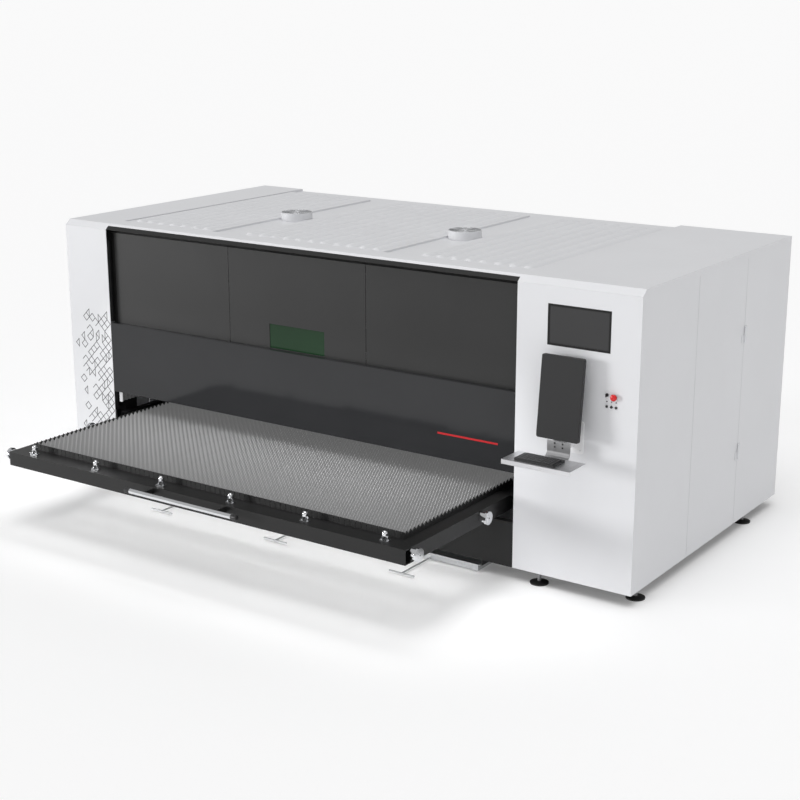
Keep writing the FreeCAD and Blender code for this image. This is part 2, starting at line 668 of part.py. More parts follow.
def make_side_curtains():
    """Pleated shields that hang inside each end of the opening, with a white bar at the front."""
    pleats = int(number("curtain_pleats"))
    step_y = number("curtain_pitch / 2")
    low = number("curtain_bottom")
    high = number("beam_bottom")
    start = number("front_y + curtain_start")
    bar = number("curtain_bar")
    pieces = []
    for side in (-1, 1):
        edge = number(OPEN_L) if side < 0 else number(OPEN_R)
        inner = edge - side * number("curtain_inset")
        points = []
        for step in range(2 * pleats + 1):
            offset = number("curtain_depth") if step % 2 else 0
            points.append(FreeCAD.Vector(inner - side * offset, start + step * step_y, low))
        back = [FreeCAD.Vector(p.x + side * number("curtain_wall"), p.y, low) for p in reversed(points)]
        outline = Part.makePolygon(points + back + points[:1])
        pieces.append(Part.Face(outline).extrude(FreeCAD.Vector(0, 0, high - low)))
        bar_low = edge + 4 if side < 0 else edge - 4 - bar
        pieces.append(Part.makeBox(bar, 12, high - low, FreeCAD.Vector(bar_low, start - 12, low)))
    shape_part("side_curtains", Part.makeCompound(pieces))


# ---- sliding bed ----

def make_table_frame():
    members = []
    width = "2 * table_half"
    x = "%s - table_half" % MID
    rear = "%s + %s - bar_deep" % (BAR_FRONT, TABLE_LENGTH)
    for y in (BAR_FRONT, rear):
        members.append(tube("table", (x, y, "bar_bottom"), (width, "bar_deep", "bar_height"),
                            "tube_wall", "x"))
    for side in (-1, 1):
        low, span = beside(side, "table_half - rail_wide", "table_half")
        members.append(tube("table", (low, "%s + bar_deep" % BAR_FRONT, "bar_bottom"),
                            (span, "%s - 2 * bar_deep" % TABLE_LENGTH, "bar_height"), "tube_wall", "y"))
    count = 5
    for step in range(count):
        y = "%s + 60 + %d * (bed_length - 170) / %d" % (BED_FRONT, step, count - 1)
        members.append(tube("bearer", ("%s - table_half + rail_wide" % MID, y, "bar_bottom"),
                            ("2 * table_half - 2 * rail_wide", "50", "bearer_height"), "tube_wall", "x"))
    keep(group("table", members + make_apron() + make_handle() + make_guide_blocks()), "table_frame")


def make_apron():
    """Thin covers that close the ledge between the slats and the outer bars."""
    x = "%s - table_half" % MID
    strips = []
    for y in (BAR_FRONT, "%s + bed_length - comb_thick" % BED_FRONT):
        strips.append(block("apron", (x, y, BAR_TOP),
                            ("2 * table_half", "bed_margin + comb_thick", "apron_thick")))
    for side in (-1, 1):
        low, span = beside(side, "bed_half - comb_thick", "table_half")
        strips.append(block("apron", (low, "%s + comb_thick" % BED_FRONT, BAR_TOP),
                            (span, "bed_length - 2 * comb_thick", "apron_thick")))
    return strips


def tooth_points(length, count, base_z, height, tip_z):
    """Points of a row of triangular teeth, from one end to the other, in the plane u, v."""
    pitch = length / count
    points = [(0.0, tip_z - height)]
    for step in range(count):
        points.append(((step + 0.5) * pitch, tip_z))
        points.append(((step + 1) * pitch, tip_z - height))
    return [(length, base_z)] + points[::-1] + [(0.0, base_z)]


def standing_sheet(points, x, y, z, thickness):
    """A sheet that stands along Y, from an outline in Y and Z, thick along X."""
    corners = [FreeCAD.Vector(x, y + u, z + v) for u, v in points]
    wire = Part.makePolygon(corners + corners[:1])
    return Part.Face(wire).extrude(FreeCAD.Vector(thickness, 0, 0))


def slat_total():
    return int(number("2 * bed_half / slat_pitch"))


def slat_outline():
    """A toothed slat with a shallow tab at each end that passes through the comb plates."""
    length = number("bed_length")
    low = number("bar_bottom + bearer_height")
    tab_z = number(COMB_FOOT) + number("slot_clear") - low
    tab = number("tab_length")
    teeth = tooth_points(length, int(number("tooth_count")), tab_z, number("tooth_height"),
                         number("bed_top") - low)
    return teeth + [(tab, tab_z), (tab, 0.0), (length - tab, 0.0), (length - tab, tab_z)]


def make_slats():
    count = slat_total()
    low = number("bar_bottom + bearer_height")
    y = number(BED_FRONT)
    thick = number("slat_thick")
    pitch = number("slat_pitch")
    first = standing_sheet(slat_outline(), 0, y, low, thick)
    slats = []
    for step in range(count):
        x = number(MID) + (step - (count - 1) / 2) * pitch - thick / 2
        slat = first.copy()
        slat.translate(FreeCAD.Vector(x, 0, 0))
        slats.append(slat)
    shape_part("bed_slats", Part.makeCompound(slats))


def comb_plate(y):
    """A black upright plate with an open slot for each slat."""
    half = number("bed_half")
    low = number(COMB_FOOT)
    high = number("bed_top - comb_drop")
    count = slat_total()
    pitch = number("slat_pitch")
    slot = number("slat_thick / 2 + slot_clear")
    centre = number(MID)
    foot = low + number("slot_clear")
    points = [(centre - half, low), (centre + half, low), (centre + half, high)]
    for step in reversed(range(count)):
        x = centre + (step - (count - 1) / 2) * pitch
        points += [(x + slot, high), (x + slot, foot), (x - slot, foot), (x - slot, high)]
    points.append((centre - half, high))
    corners = [FreeCAD.Vector(x, y, z) for x, z in points]
    face = Part.Face(Part.makePolygon(corners + corners[:1]))
    return face.extrude(FreeCAD.Vector(0, number("comb_thick"), 0))


def make_combs():
    y_front = number(BED_FRONT)
    y_rear = y_front + number("bed_length - comb_thick")
    keep_shapes = [comb_plate(y_front), comb_plate(y_rear)]
    length = number("bed_length - 2 * comb_thick")
    thick = number("comb_thick")
    low = number(COMB_FOOT)
    outline = tooth_points(length, int(number("tooth_count")), 0.0, number("tooth_height"),
                           number("bed_top") - low)
    for x in (number("%s - bed_half" % MID), number("%s + bed_half - comb_thick" % MID)):
        keep_shapes.append(standing_sheet(outline, x, y_front + thick, low, thick))
    shape_part("comb_plates", Part.makeCompound(keep_shapes))


def make_loading_balls():
    """Chrome ball transfers on two splayed legs, in a row on the front ledge."""
    pieces = []
    foot_z = number(COMB_FOOT)
    lift = number("ball_lift")
    radius = number("ball_radius")
    y = number("%s + ball_inset" % BAR_FRONT)
    for step in range(6):
        x = number(MID) + (step - 2.5) * number("ball_spacing")
        base = Part.makeBox(60, 34, 4, FreeCAD.Vector(x - 30, y - 17, foot_z))
        stand = base
        for side in (-1, 1):
            legs = [FreeCAD.Vector(x + side * reach, y - 6, foot_z + rise)
                    for reach, rise in ((28, 4), (16, 4), (3, lift - 10), (13, lift - 10))]
            leg = Part.Face(Part.makePolygon(legs + legs[:1])).extrude(FreeCAD.Vector(0, 12, 0))
            stand = stand.fuse(leg)
        cup = Part.makeCylinder(radius + 3, 14, FreeCAD.Vector(x, y, foot_z + lift - 14))
        ball_centre = FreeCAD.Vector(x, y, foot_z + lift)
        pocket = Part.makeSphere(radius + 0.3, ball_centre)
        pieces.append(stand.fuse(cup).cut(pocket).removeSplitter())
        pieces.append(Part.makeSphere(radius, ball_centre))
    shape_part("ball_transfers", Part.makeCompound(pieces))


def make_handle():
    y = "%s - handle_reach" % BAR_FRONT
    keep(rod("handle", ("%s - handle_length / 2" % MID, y, "handle_z"), "handle_radius", "handle_length", "x"),
         "table_handle")
    arms = []
    for side in (-1, 1):
        x = "%s + %d * arm_spacing / 2 - arm_thick / 2" % (MID, side)
        arm = block("arm", (x, y, "handle_z - handle_radius"),
                    ("arm_thick", "handle_reach", "2 * handle_radius"))
        cradle = rod("arm", ("%s - 1" % x, y, "handle_z"), "handle_radius + running_clear", "arm_thick + 2", "x")
        arms.append(cut("arm", arm, [cradle]))
    return arms


def make_rollers():
    axles = []
    for side, name in ((-1, "left"), (1, "right")):
        for step in range(3):
            y = "%s + roller_first + %d * roller_pitch" % (BAR_FRONT, step)
            total = "(hub_length + flange_thick)"
            if side > 0:
                base = "%s + table_half" % MID
                hub_x = "%s + roller_gap" % base
                flange_x = "%s + roller_gap + hub_length" % base
                collar_x = base
                axle_x = base
            else:
                base = "%s - table_half" % MID
                hub_x = "%s - roller_gap - hub_length" % base
                flange_x = "%s - roller_gap - %s" % (base, total)
                collar_x = "%s - roller_gap + 0.5" % base
                axle_x = "%s - roller_gap - %s" % (base, total)
            hub = rod("roller", (hub_x, y, "roller_z"), "hub_radius", "hub_length", "x")
            flange = rod("roller", (flange_x, y, "roller_z"), "roller_radius", "flange_thick", "x")
            bore_x = hub_x if side > 0 else flange_x
            bore = rod("roller", ("%s - 1" % bore_x, y, "roller_z"), "axle_radius + running_clear",
                       "%s + 2" % total, "x")
            keep(cut("roller", fuse("roller", [hub, flange]), [bore]), "bed_roller_%s_%d" % (name, step + 1))
            axle = rod("axle", (axle_x, y, "roller_z"), "axle_radius", "%s + roller_gap" % total, "x")
            collar = rod("axle", (collar_x, y, "roller_z"), "axle_radius + 7", "roller_gap - 0.5", "x")
            axles.append(fuse("axle", [axle, collar]))
    keep(group("axle", axles), "roller_axles")


def make_guide_blocks():
    blocks = []
    for side in (-1, 1):
        low, span = beside(side, "table_half", "table_half + 54")
        blocks.append(block("skid", (low, "%s + %s - 90" % (BAR_FRONT, TABLE_LENGTH), "roller_z - 38"),
                            (span, "80", "73")))
    return blocks


def make_table_rails():
    """Channels that the bed's rollers run in, on stands at each side of the opening."""
    rails = []
    stands = []
    y = "front_y + column_setback"
    length = "table_rail_back - column_setback"
    low_z = "roller_z - roller_radius - rail_clear - rail_web"
    high_z = "roller_z + roller_radius + 1"
    half = "(%s / 2)" % OPEN_W
    for side in (-1, 1):
        web_x, web = beside(side, "%s - rail_web" % half, half)
        flange_x, flange = beside(side, "%s - rail_web - rail_flange" % half, "%s - rail_web" % half)
        rails += [block("rail", (web_x, y, low_z), (web, length, "2 * roller_radius + 2 * rail_web + 1 + rail_clear")),
                  block("rail", (flange_x, y, low_z), (flange, length, "rail_web")),
                  block("rail", (flange_x, y, high_z), (flange, length, "rail_web"))]
        stand_x, stand = beside(side, "%s - stand_width" % half, half)
        for place in ("front_y + 104", "front_y + 1080", "front_y + 2040"):
            stands.append(tube("stand", (stand_x, place, FRAME_TOP),
                               (stand, "stand_width", "%s - %s" % (low_z, FRAME_TOP)), "post_wall", "z"))
    keep(group("rail", rails), "table_rails")
    return stands


# ---- slag trays ----

def make_tray(label, centre):
    """A tray of flat plates, with a turned-out lip along each side and a T-shaped pull rod in front."""
    x = "%s - tray_width / 2" % centre
    y = "front_y + tray_front"
    above = "tray_bottom + tray_wall"
    parts = [block("tray", (x, y, "tray_bottom"), ("tray_width", "tray_length", "tray_wall"))]
    for end in (y, "%s + tray_length - tray_wall" % y):
        parts.append(block("tray", (x, end, above), ("tray_width", "tray_wall", "tray_height - tray_wall")))
    for low in (x, "%s + tray_width / 2 - tray_wall" % centre):
        parts.append(block("tray", (low, "%s + tray_wall" % y, above),
                           ("tray_wall", "tray_length - 2 * tray_wall", "tray_height - tray_wall")))
    for low in ("%s - tray_lip" % x, "%s + tray_width" % x):
        parts.append(block("tray", (low, y, "%s - tray_wall" % TRAY_TOP),
                           ("tray_lip", "tray_length", "tray_wall")))
    pull_z = "tray_bottom + pull_radius + 2"
    stem = rod("tray", (centre, "%s - pull_length" % y, pull_z), "pull_radius", "pull_length", "y")
    bar = rod("tray", ("%s - pull_bar / 2" % centre, "%s - pull_length" % y, pull_z), "pull_radius",
              "pull_bar", "x")
    keep(group("tray", parts + [fuse("tray", [stem, bar])]), label)


def make_trays():
    runners = []
    for step, name in ((-1, "left"), (0, "middle"), (1, "right")):
        centre = "(%s + tray_shift + %d * tray_pitch)" % (MID, step)
        make_tray("slag_tray_" + name, centre)
        for side in (-1, 1):
            edge = "%s %s tray_width / 2" % (centre, "-" if side < 0 else "+")
            lip_low = "%s - tray_lip - 1 - runner_wall" % edge if side < 0 else "%s + 1" % edge
            z = "%s - tray_wall - rail_clear - runner_wall" % TRAY_TOP
            shelf = block("runner", (lip_low, "front_y + 4", z),
                          ("tray_lip + runner_wall", "body_depth - 100", "runner_wall"))
            web_low = lip_low if side < 0 else "%s + 1 + tray_lip" % edge
            web = block("runner", (web_low, "front_y + 4", z),
                        ("runner_wall", "body_depth - 100", "floor_gap - (%s)" % z))
            runners += [shelf, web]
    keep(group("runner", runners), "tray_runners")


# ---- gantry ----

def make_x_beams():
    beams = []
    stands = []
    guides = []
    racks = []
    x = "%s - beam_end" % OPEN_L
    length = "%s + 2 * beam_end" % OPEN_W
    for y in ("front_y + beam_front", "front_y + beam_rear"):
        beams.append(tube("xbeam", (x, y, "beam_bottom"), (length, "beam_deep", "beam_height"), "beam_wall", "x"))
        for end in (x, "%s + 5" % OPEN_R):
            stands.append(tube("xstand", (end, y, FRAME_TOP),
                               ("beam_end - 5", "beam_deep", "beam_bottom - %s" % FRAME_TOP), "post_wall", "z"))
        guides.append(block("guide", (x, "%s + beam_deep / 2 - guide_wide / 2" % y, BEAM_TOP),
                            (length, "guide_wide", "guide_high")))
        racks.append(block("rack", (x, "%s + beam_deep - 22" % y, BEAM_TOP), (length, "18", "16")))
    keep(group("xbeam", beams + guides + racks), "x_beams")
    keep(group("base", make_base_frame() + stands + make_table_rails()), "base_frame")


def make_gantry():
    """A beam across the bed on two trucks, each with its own drive motor."""
    trucks = []
    motors = []
    for y in ("front_y + beam_front", "front_y + beam_rear"):
        mid_y = "%s + beam_deep / 2" % y
        trucks.append(block("truck", ("%s - truck_length / 2" % GANTRY_X, "%s - 40" % mid_y,
                                      "%s + 0.5" % GUIDE_TOP), ("truck_length", "76", "truck_high")))
    beam_y = "front_y + beam_front + beam_deep / 2 - 40"
    beam_run = "beam_rear - beam_front + 76"
    for x, y in ((GANTRY_X, "front_y + beam_front + beam_deep / 2 - 28"), (GANTRY_X, "front_y + beam_rear + 34")):
        motors.append(block("motor", ("%s - gantry_wide / 2 - 88" % x, y, GANTRY_Z), ("88", "56", "120")))
    beam = tube("gantry", ("%s - gantry_wide / 2" % GANTRY_X, beam_y, GANTRY_Z),
                ("gantry_wide", beam_run, "gantry_high"), "beam_wall", "y")
    rails = []
    face = "%s + gantry_wide / 2" % GANTRY_X
    for z in ("%s + 24" % GANTRY_Z, "%s + gantry_high - 44" % GANTRY_Z):
        rails.append(block("yrail", (face, "%s + 70" % beam_y, z), ("15", "%s - 140" % beam_run, "20")))
    keep(group("gantry", [beam] + trucks + motors + rails), "gantry_beam")


def make_head():
    face = "%s + gantry_wide / 2 + 15" % GANTRY_X
    y = "front_y + head_y - carriage_wide / 2"
    plate_x = "%s + 0.5" % face
    carriage = block("carriage", (plate_x, y, "%s - 40" % GANTRY_Z),
                     ("carriage_thick", "carriage_wide", "gantry_high + 140"))
    z_motor = block("carriage", ("%s + carriage_thick" % plate_x, "front_y + head_y - 32",
                                 "%s + gantry_high + 20" % GANTRY_Z), ("64", "64", "80"))
    keep(group("carriage", [carriage, z_motor]), "head_carriage")
    slide_x = "%s + carriage_thick + 0.5" % plate_x
    slide = block("zslide", (slide_x, "front_y + head_y - 55", "nozzle_z + 130"), ("22", "110", "170"))
    axis_x = "%s + 22 + head_radius" % slide_x
    head_y = "front_y + head_y"
    parts = [rod("head", (axis_x, head_y, "nozzle_z + 140"), "head_radius", "200"),
             cone("head", (axis_x, head_y, "nozzle_z + 100"), "head_radius - 15", "head_radius", "40"),
             rod("head", (axis_x, head_y, "nozzle_z + 35"), "head_radius - 15", "65"),
             cone("head", (axis_x, head_y, "nozzle_z + 15"), "14", "head_radius - 15", "20")]
    clamp = cut("clamp", block("clamp", ("%s + 22" % slide_x, "%s - 40" % head_y, "nozzle_z + 150"),
                               ("head_radius", "80", "130")),
                [rod("clamp", (axis_x, head_y, "nozzle_z + 149"), "head_radius", "132")])
    nozzle = cut("nozzle", cone("nozzle", (axis_x, head_y, "nozzle_z"), "4", "14", "15"),
                 [rod("nozzle", (axis_x, head_y, "nozzle_z - 1"), "1.2", "17")])
    keep(group("head", [slide, clamp, fuse("head", parts), nozzle]), "cutting_head")


# ---- operator station ----

def make_screen():
    gap = 2
    x = "%s + screen_x" % OPEN_R
    z = "floor_gap + screen_z"
    keep(block("screen", ("%s + %d" % (x, gap), "front_y + 0.5", "%s + %d" % (z, gap)),
               ("screen_width - %d" % (2 * gap), "5.5", "screen_height - %d" % (2 * gap))), "wall_screen")
    housing = block("housing", ("%s - 15" % x, "front_y + sheet_wall", "%s - 15" % z),
                    ("screen_width + 30", "45", "screen_height + 30"))
    pocket = block("housing", ("%s" % x, "front_y", z), ("screen_width", "6", "screen_height"))
    return cut("housing", housing, [pocket])


def bent_strip(x, width, corners, radius, thickness):
    """A strip bent once: up the wall side, then forward, with a round bend between the two legs."""
    top, bend, tip = corners
    inner = radius - thickness
    centre = FreeCAD.Vector(x, bend.y - radius + thickness, bend.z + radius)
    points = {}
    for name, reach in (("outer", radius), ("inner", inner)):
        points[name] = [centre + FreeCAD.Vector(0, reach * math.cos(a), -reach * math.sin(a))
                        for a in (0, math.pi / 4, math.pi / 2)]
    outer = points["outer"]
    inner_points = points["inner"]
    edges = [
        Part.LineSegment(FreeCAD.Vector(x, outer[0].y, top.z), outer[0]).toShape(),
        Part.Arc(outer[0], outer[1], outer[2]).toShape(),
        Part.LineSegment(outer[2], FreeCAD.Vector(x, tip.y, outer[2].z)).toShape(),
        Part.LineSegment(FreeCAD.Vector(x, tip.y, outer[2].z), FreeCAD.Vector(x, tip.y, inner_points[2].z)).toShape(),
        Part.LineSegment(FreeCAD.Vector(x, tip.y, inner_points[2].z), inner_points[2]).toShape(),
        Part.Arc(inner_points[2], inner_points[1], inner_points[0]).toShape(),
        Part.LineSegment(inner_points[0], FreeCAD.Vector(x, inner_points[0].y, top.z)).toShape(),
        Part.LineSegment(FreeCAD.Vector(x, inner_points[0].y, top.z), FreeCAD.Vector(x, outer[0].y, top.z)).toShape(),
    ]
    return Part.Face(Part.Wire(Part.__sortEdges__(edges))).extrude(FreeCAD.Vector(width, 0, 0))


def make_mount():
    wall = plate("wall_plate", "front", ("%s - wall_plate_width / 2" % MOUNT_X,
                                         "front_y - wall_plate_thick", "wall_plate_z"),
                 "wall_plate_width", "wall_plate_height", "wall_plate_thick", rounding="15")
    reach = "bracket_setback - bracket_thick - wall_plate_thick"
    front = "front_y - bracket_setback + bracket_thick"
    foot = block("mount", ("%s - 45" % MOUNT_X, front, "mount_foot_z"),
                 ("90", reach, "mount_foot_high"))
    upright = block("mount", ("%s - 45" % MOUNT_X, "front_y - pivot_setback + 12",
                              "mount_foot_z + mount_foot_high - 5"),
                    ("90", "18", "pivot_z - mount_foot_z - mount_foot_high + 30"))
    ears = []
    for side in (-1, 1):
        x = "%s + %d * 30 - 8" % (MOUNT_X, side)
        ear = block("mount", (x, "front_y - pivot_setback - 8", "pivot_z - 8"), ("16", "24", "16"))
        bore = rod("mount", ("%s - 1" % x, "front_y - pivot_setback", "pivot_z"),
                   "pivot_radius + running_clear", "18", "x")
        ears.append(cut("mount", ear, [bore]))
    keep(group("mount", [wall, fuse("mount", [foot, upright] + ears)]), "monitor_mount")
    x = number("%s - bracket_width / 2" % MOUNT_X)
    y = number("front_y - bracket_setback")
    top = FreeCAD.Vector(x, y, number("bracket_top"))
    bend = FreeCAD.Vector(x, y, number("shelf_z - bracket_thick"))
    tip = FreeCAD.Vector(x, y - number("shelf_depth"), bend.z)
    shape_part("monitor_bracket", bent_strip(x, number("bracket_width"), (top, bend, tip),
                                             number("bend_radius"), number("bracket_thick")))


def make_shelf():
    back = "front_y - bracket_setback - bend_radius"
    outline = [("0", "0"), ("shelf_thick", "0"), ("shelf_thick", "shelf_lip - shelf_thick"),
               ("shelf_depth", "shelf_lip - shelf_thick"), ("shelf_depth", "shelf_lip"), ("0", "shelf_lip")]
    x = "%s - shelf_width / 2 - shelf_shift" % MOUNT_X
    keep(profile("shelf", "side", (x, "%s - shelf_depth" % back, "shelf_z - shelf_lip + shelf_thick"),
                 [outline], "shelf_width"), "keyboard_shelf")
    key_x = "%s + keyboard_inset" % x
    key_y = "%s - shelf_depth + 20" % back
    key_z = "shelf_z + shelf_thick"
    case = plate("keyboard", "flat", (key_x, key_y, key_z), "keyboard_width", "keyboard_depth",
                 "keyboard_thick", rounding="8")
    keys = []
    spread = number("(keyboard_width - (key_columns - 1) * key_pitch - key_size) / 2")
    for row in range(int(number("key_rows"))):
        for column in range(int(number("key_columns"))):
            corner = FreeCAD.Vector(number(key_x) + spread + column * number("key_pitch"),
                                    number(key_y) + 7 + row * number("key_pitch"),
                                    number("%s + keyboard_thick" % key_z))
            keys.append(Part.makeBox(number("key_size"), number("key_size"), 4, corner))
    keep(group("keyboard", [case, shape_object("keys", Part.makeCompound(keys))]), "keyboard")


def make_monitor():
    """The tilting monitor, its hinge barrel and pin; its lower edge stands nearer the operator."""
    tilt = FreeCAD.Rotation(FreeCAD.Vector(1, 0, 0), 90 - number("monitor_tilt"))
    shell = plate("monitor", "front", ("0", "0", "0"), "monitor_width", "monitor_height",
                  "monitor_thick", rounding="monitor_corner")
    lean = math.radians(number("monitor_tilt"))
    thick = number("monitor_thick")
    base = FreeCAD.Vector(number("%s - monitor_width / 2" % MOUNT_X),
                          number("front_y - monitor_setback") + thick * math.cos(lean),
                          number("monitor_bottom") - thick * math.sin(lean))
    for axis in "xyz":
        shell.setExpression("Placement.Base." + axis, None)
    shell.Placement = FreeCAD.Placement(base, tilt)
    barrel = rod("knuckle", ("%s - 21" % MOUNT_X, "front_y - pivot_setback", "pivot_z"), "10", "42", "x")
    pin = rod("knuckle", ("%s - 40" % MOUNT_X, "front_y - pivot_setback", "pivot_z"), "pivot_radius", "80", "x")
    plate_block = block("knuckle", ("%s - 21" % MOUNT_X, "front_y - pivot_setback - 34", "pivot_z - 10"),
                        ("42", "34", "20"))
    solid = fuse("knuckle", [barrel, pin, plate_block])
    keep(group("monitor", [shell, cut("knuckle", solid, [shell])]), "monitor")


def push_button(label, across, up, head_radius, head_length, stem_radius, head_gap):
    """A round head in front of the panel on a stem through its hole."""
    x = "%s + %s" % (OPEN_R, across)
    z = "floor_gap + %s" % up
    head = rod(label, (x, "front_y - %s - %s" % (head_gap, head_length), z), head_radius, head_length, "y")
    stem = rod(label, (x, "front_y - %s" % head_gap, z), stem_radius, "%s + 26" % head_gap, "y")
    return fuse(label, [head, stem])


def make_controls():
    x = "%s + stop_x" % OPEN_R
    z = "floor_gap + stop_z"
    collar = cut("collar", rod("collar", (x, "front_y - 6", z), "stop_radius - 3", "6", "y"),
                 [rod("collar", (x, "front_y - 7", z), "button_radius + slide_clear", "8", "y")])
    keep(push_button("emergency_stop", "stop_x", "stop_z", "stop_radius", "16", "button_radius", "13"),
         "emergency_stop")
    key = push_button("key_switch", "key_x", "key_z", "button_radius + 2", "7",
                      "button_hole - slide_clear", "slide_clear")
    grip = block("key_switch", ("%s + key_x - 2" % OPEN_R, "front_y - 22", "floor_gap + key_z - 9"),
                 ("4", "16", "18"))
    keep(fuse("key_switch", [key, grip]), "key_switch")
    lamps = [collar]
    for step, name in enumerate(("left", "middle", "right")):
        across = "button_x + %d * button_pitch" % step
        label = "push_button_" + name
        keep(push_button(label, across, "button_z", "button_radius - slide_clear", "5",
                         "button_radius - slide_clear", "0"), label)
        lamp_x = "%s + %s" % (OPEN_R, across)
        lamps.append(rod("lamp", (lamp_x, "front_y - 3", "floor_gap + lamp_z"), "lamp_radius", "16", "y"))
    keep(group("lamp", lamps), "panel_fittings")


# ---- service door and inner equipment ----

def make_service_door():
    y_low = "side_seam_rear + seam_gap"
    door = side_plate("service", "%s - sheet_wall" % RIGHT, y_low, "body_depth - sheet_wall")
    pin_x = "%s + barrel_radius" % RIGHT
    pin_y = "front_y + side_seam_rear"
    half = "(barrel_length / 2 - 0.5)"
    moving = [door]
    fixed = []
    for z in ("floor_gap + hinge_low - barrel_length / 2", "floor_gap + hinge_high - barrel_length / 2"):
        fixed_leaf = block("leaf", (RIGHT, "%s - 40" % pin_y, z), ("3", "38", half))
        fixed_barrel = rod("leaf", (pin_x, pin_y, z), "barrel_radius", half)
        pin = rod("leaf", (pin_x, pin_y, z), "hinge_pin", "barrel_length - 3")
        fixed.append(fuse("leaf", [fixed_leaf, fixed_barrel, pin]))
        upper = "%s + barrel_length / 2 + 0.5" % z
        moving_leaf = block("leaf", (RIGHT, "%s + 2" % pin_y, upper), ("3", "38", half))
        moving_barrel = rod("leaf", (pin_x, pin_y, upper), "barrel_radius", half)
        bore = rod("leaf", (pin_x, pin_y, "%s - 1" % upper), "hinge_pin + running_clear", "%s - 1" % half)
        moving.append(cut("leaf", fuse("leaf", [moving_leaf, moving_barrel]), [bore]))
    keep(fuse("service", moving), "right_service_door")
    return fixed


def closed_box(stem, corner, size):
    """A closed sheet-metal box."""
    inner_corner = ["%s + box_wall" % low for low in corner]
    inner_size = ["%s - 2 * box_wall" % span for span in size]
    return cut(stem, block(stem, corner, size), [block(stem, inner_corner, inner_size)])


def make_equipment():
    box_x = "%s + equipment_inset" % OPEN_R
    box_wide = "right_width - equipment_inset - sheet_wall - post_tube"
    cabinet = closed_box("cabinet", (box_x, "front_y + cabinet_y", FRAME_TOP),
                         (box_wide, "cabinet_deep", "cabinet_high"))
    keep(group("cabinet", [cabinet, make_screen()]), "electrical_enclosures")
    keep(closed_box("source", (box_x, "front_y + source_y", FRAME_TOP),
                    (box_wide, "source_deep", "source_high")), "laser_source")
    y = "front_y + beam_rear + beam_deep + 6"
    run = "body_depth - beam_rear - beam_deep - 6 + spigot_length"
    pipe = cut("duct", rod("duct", ("duct_x", y, "duct_z"), "duct_radius", run, "y"),
               [rod("duct", ("duct_x", "%s - 1" % y, "duct_z"), "duct_radius - duct_wall", "%s + 2" % run, "y")])
    ring = cut("duct", rod("duct", ("duct_x", BACK, "duct_z"), "flange_radius", "6", "y"),
               [rod("duct", ("duct_x", "%s - 1" % BACK, "duct_z"), "duct_radius - duct_wall", "8", "y")])
    keep(fuse("duct", [pipe, ring]), "exhaust_duct")
    inlet_x = "%s + 500" % OPEN_R
    body = rod("inlet", (inlet_x, BACK, "300"), "32", "12", "y")
    nose = cone("inlet", (inlet_x, "%s + 12" % BACK, "300"), "26", "18", "24", "y")
    hole = rod("inlet", (inlet_x, "%s + 6" % BACK, "300"), "13", "31", "y")
    keep(cut("inlet", fuse("inlet", [body, nose]), [hole]), "power_gland")


def build():
    fill_sheet()
    for make in (make_x_beams, make_feet, make_top_frame, make_front_panels, make_side_panels,
                 make_rear_panels, make_roof, make_ribbed_panels, make_fans, make_bezel,
                 make_lower_panel, make_lift_door, make_door_slides, make_side_curtains,
                 make_table_frame, make_slats, make_combs, make_loading_balls, make_rollers,
                 make_trays, make_gantry, make_head, make_mount, make_shelf, make_monitor,
                 make_controls, make_equipment):
        make()
    doc.recompute()


def check_and_write():
    for obj in doc.Objects:
        if "Invalid" in obj.State or "Error" in obj.State:
            raise RuntimeError("%s failed to build: %s" % (obj.Label, obj.State))
    os.makedirs("parts", exist_ok=True)
    for obj in subparts:
        if obj.Shape.isNull() or not obj.Shape.isValid():
            raise RuntimeError("%s has no valid shape" % obj.Label)
        if not obj.Shape.Solids:
            raise RuntimeError("%s holds no solid" % obj.Label)
    for obj in subparts:
        obj.Shape.exportStep("parts/%s.step" % obj.Label)
    print("wrote", len(subparts), "sub-parts")


build()
check_and_write()
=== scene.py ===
import math
import random

import bmesh
import bpy
from mathutils import Matrix, Vector


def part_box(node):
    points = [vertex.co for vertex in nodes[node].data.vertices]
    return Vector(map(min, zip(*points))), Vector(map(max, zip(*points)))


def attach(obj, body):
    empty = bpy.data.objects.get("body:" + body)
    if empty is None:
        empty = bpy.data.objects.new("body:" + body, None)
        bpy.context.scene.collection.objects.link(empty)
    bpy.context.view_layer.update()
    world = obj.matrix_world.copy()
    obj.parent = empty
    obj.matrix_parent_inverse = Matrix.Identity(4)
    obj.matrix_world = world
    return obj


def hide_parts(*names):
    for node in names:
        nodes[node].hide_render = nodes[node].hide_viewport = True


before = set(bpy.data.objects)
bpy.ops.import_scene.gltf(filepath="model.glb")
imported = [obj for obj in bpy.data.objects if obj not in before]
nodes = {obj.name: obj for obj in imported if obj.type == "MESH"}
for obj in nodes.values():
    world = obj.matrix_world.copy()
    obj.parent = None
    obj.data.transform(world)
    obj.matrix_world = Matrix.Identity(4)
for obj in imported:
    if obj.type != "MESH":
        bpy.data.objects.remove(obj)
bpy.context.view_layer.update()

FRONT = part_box("right_front_panel")[0][1]     # the cabin's front plane
OPENING = (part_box("lower_panel")[0][0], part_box("lower_panel")[1][0])
MIDDLE = sum(OPENING) / 2
BAND_TOP = 1.9035                             # the black band under the front roof trim ends here

CAMERA_PLACE = (5.962, -8.225, 3.607)
CAMERA_AZIMUTH = 34.768
CAMERA_ELEVATION = 15.482
CAMERA_ROLL = -0.062
CAMERA_LENS = 68.789
VIEW_REACH = 1000.0

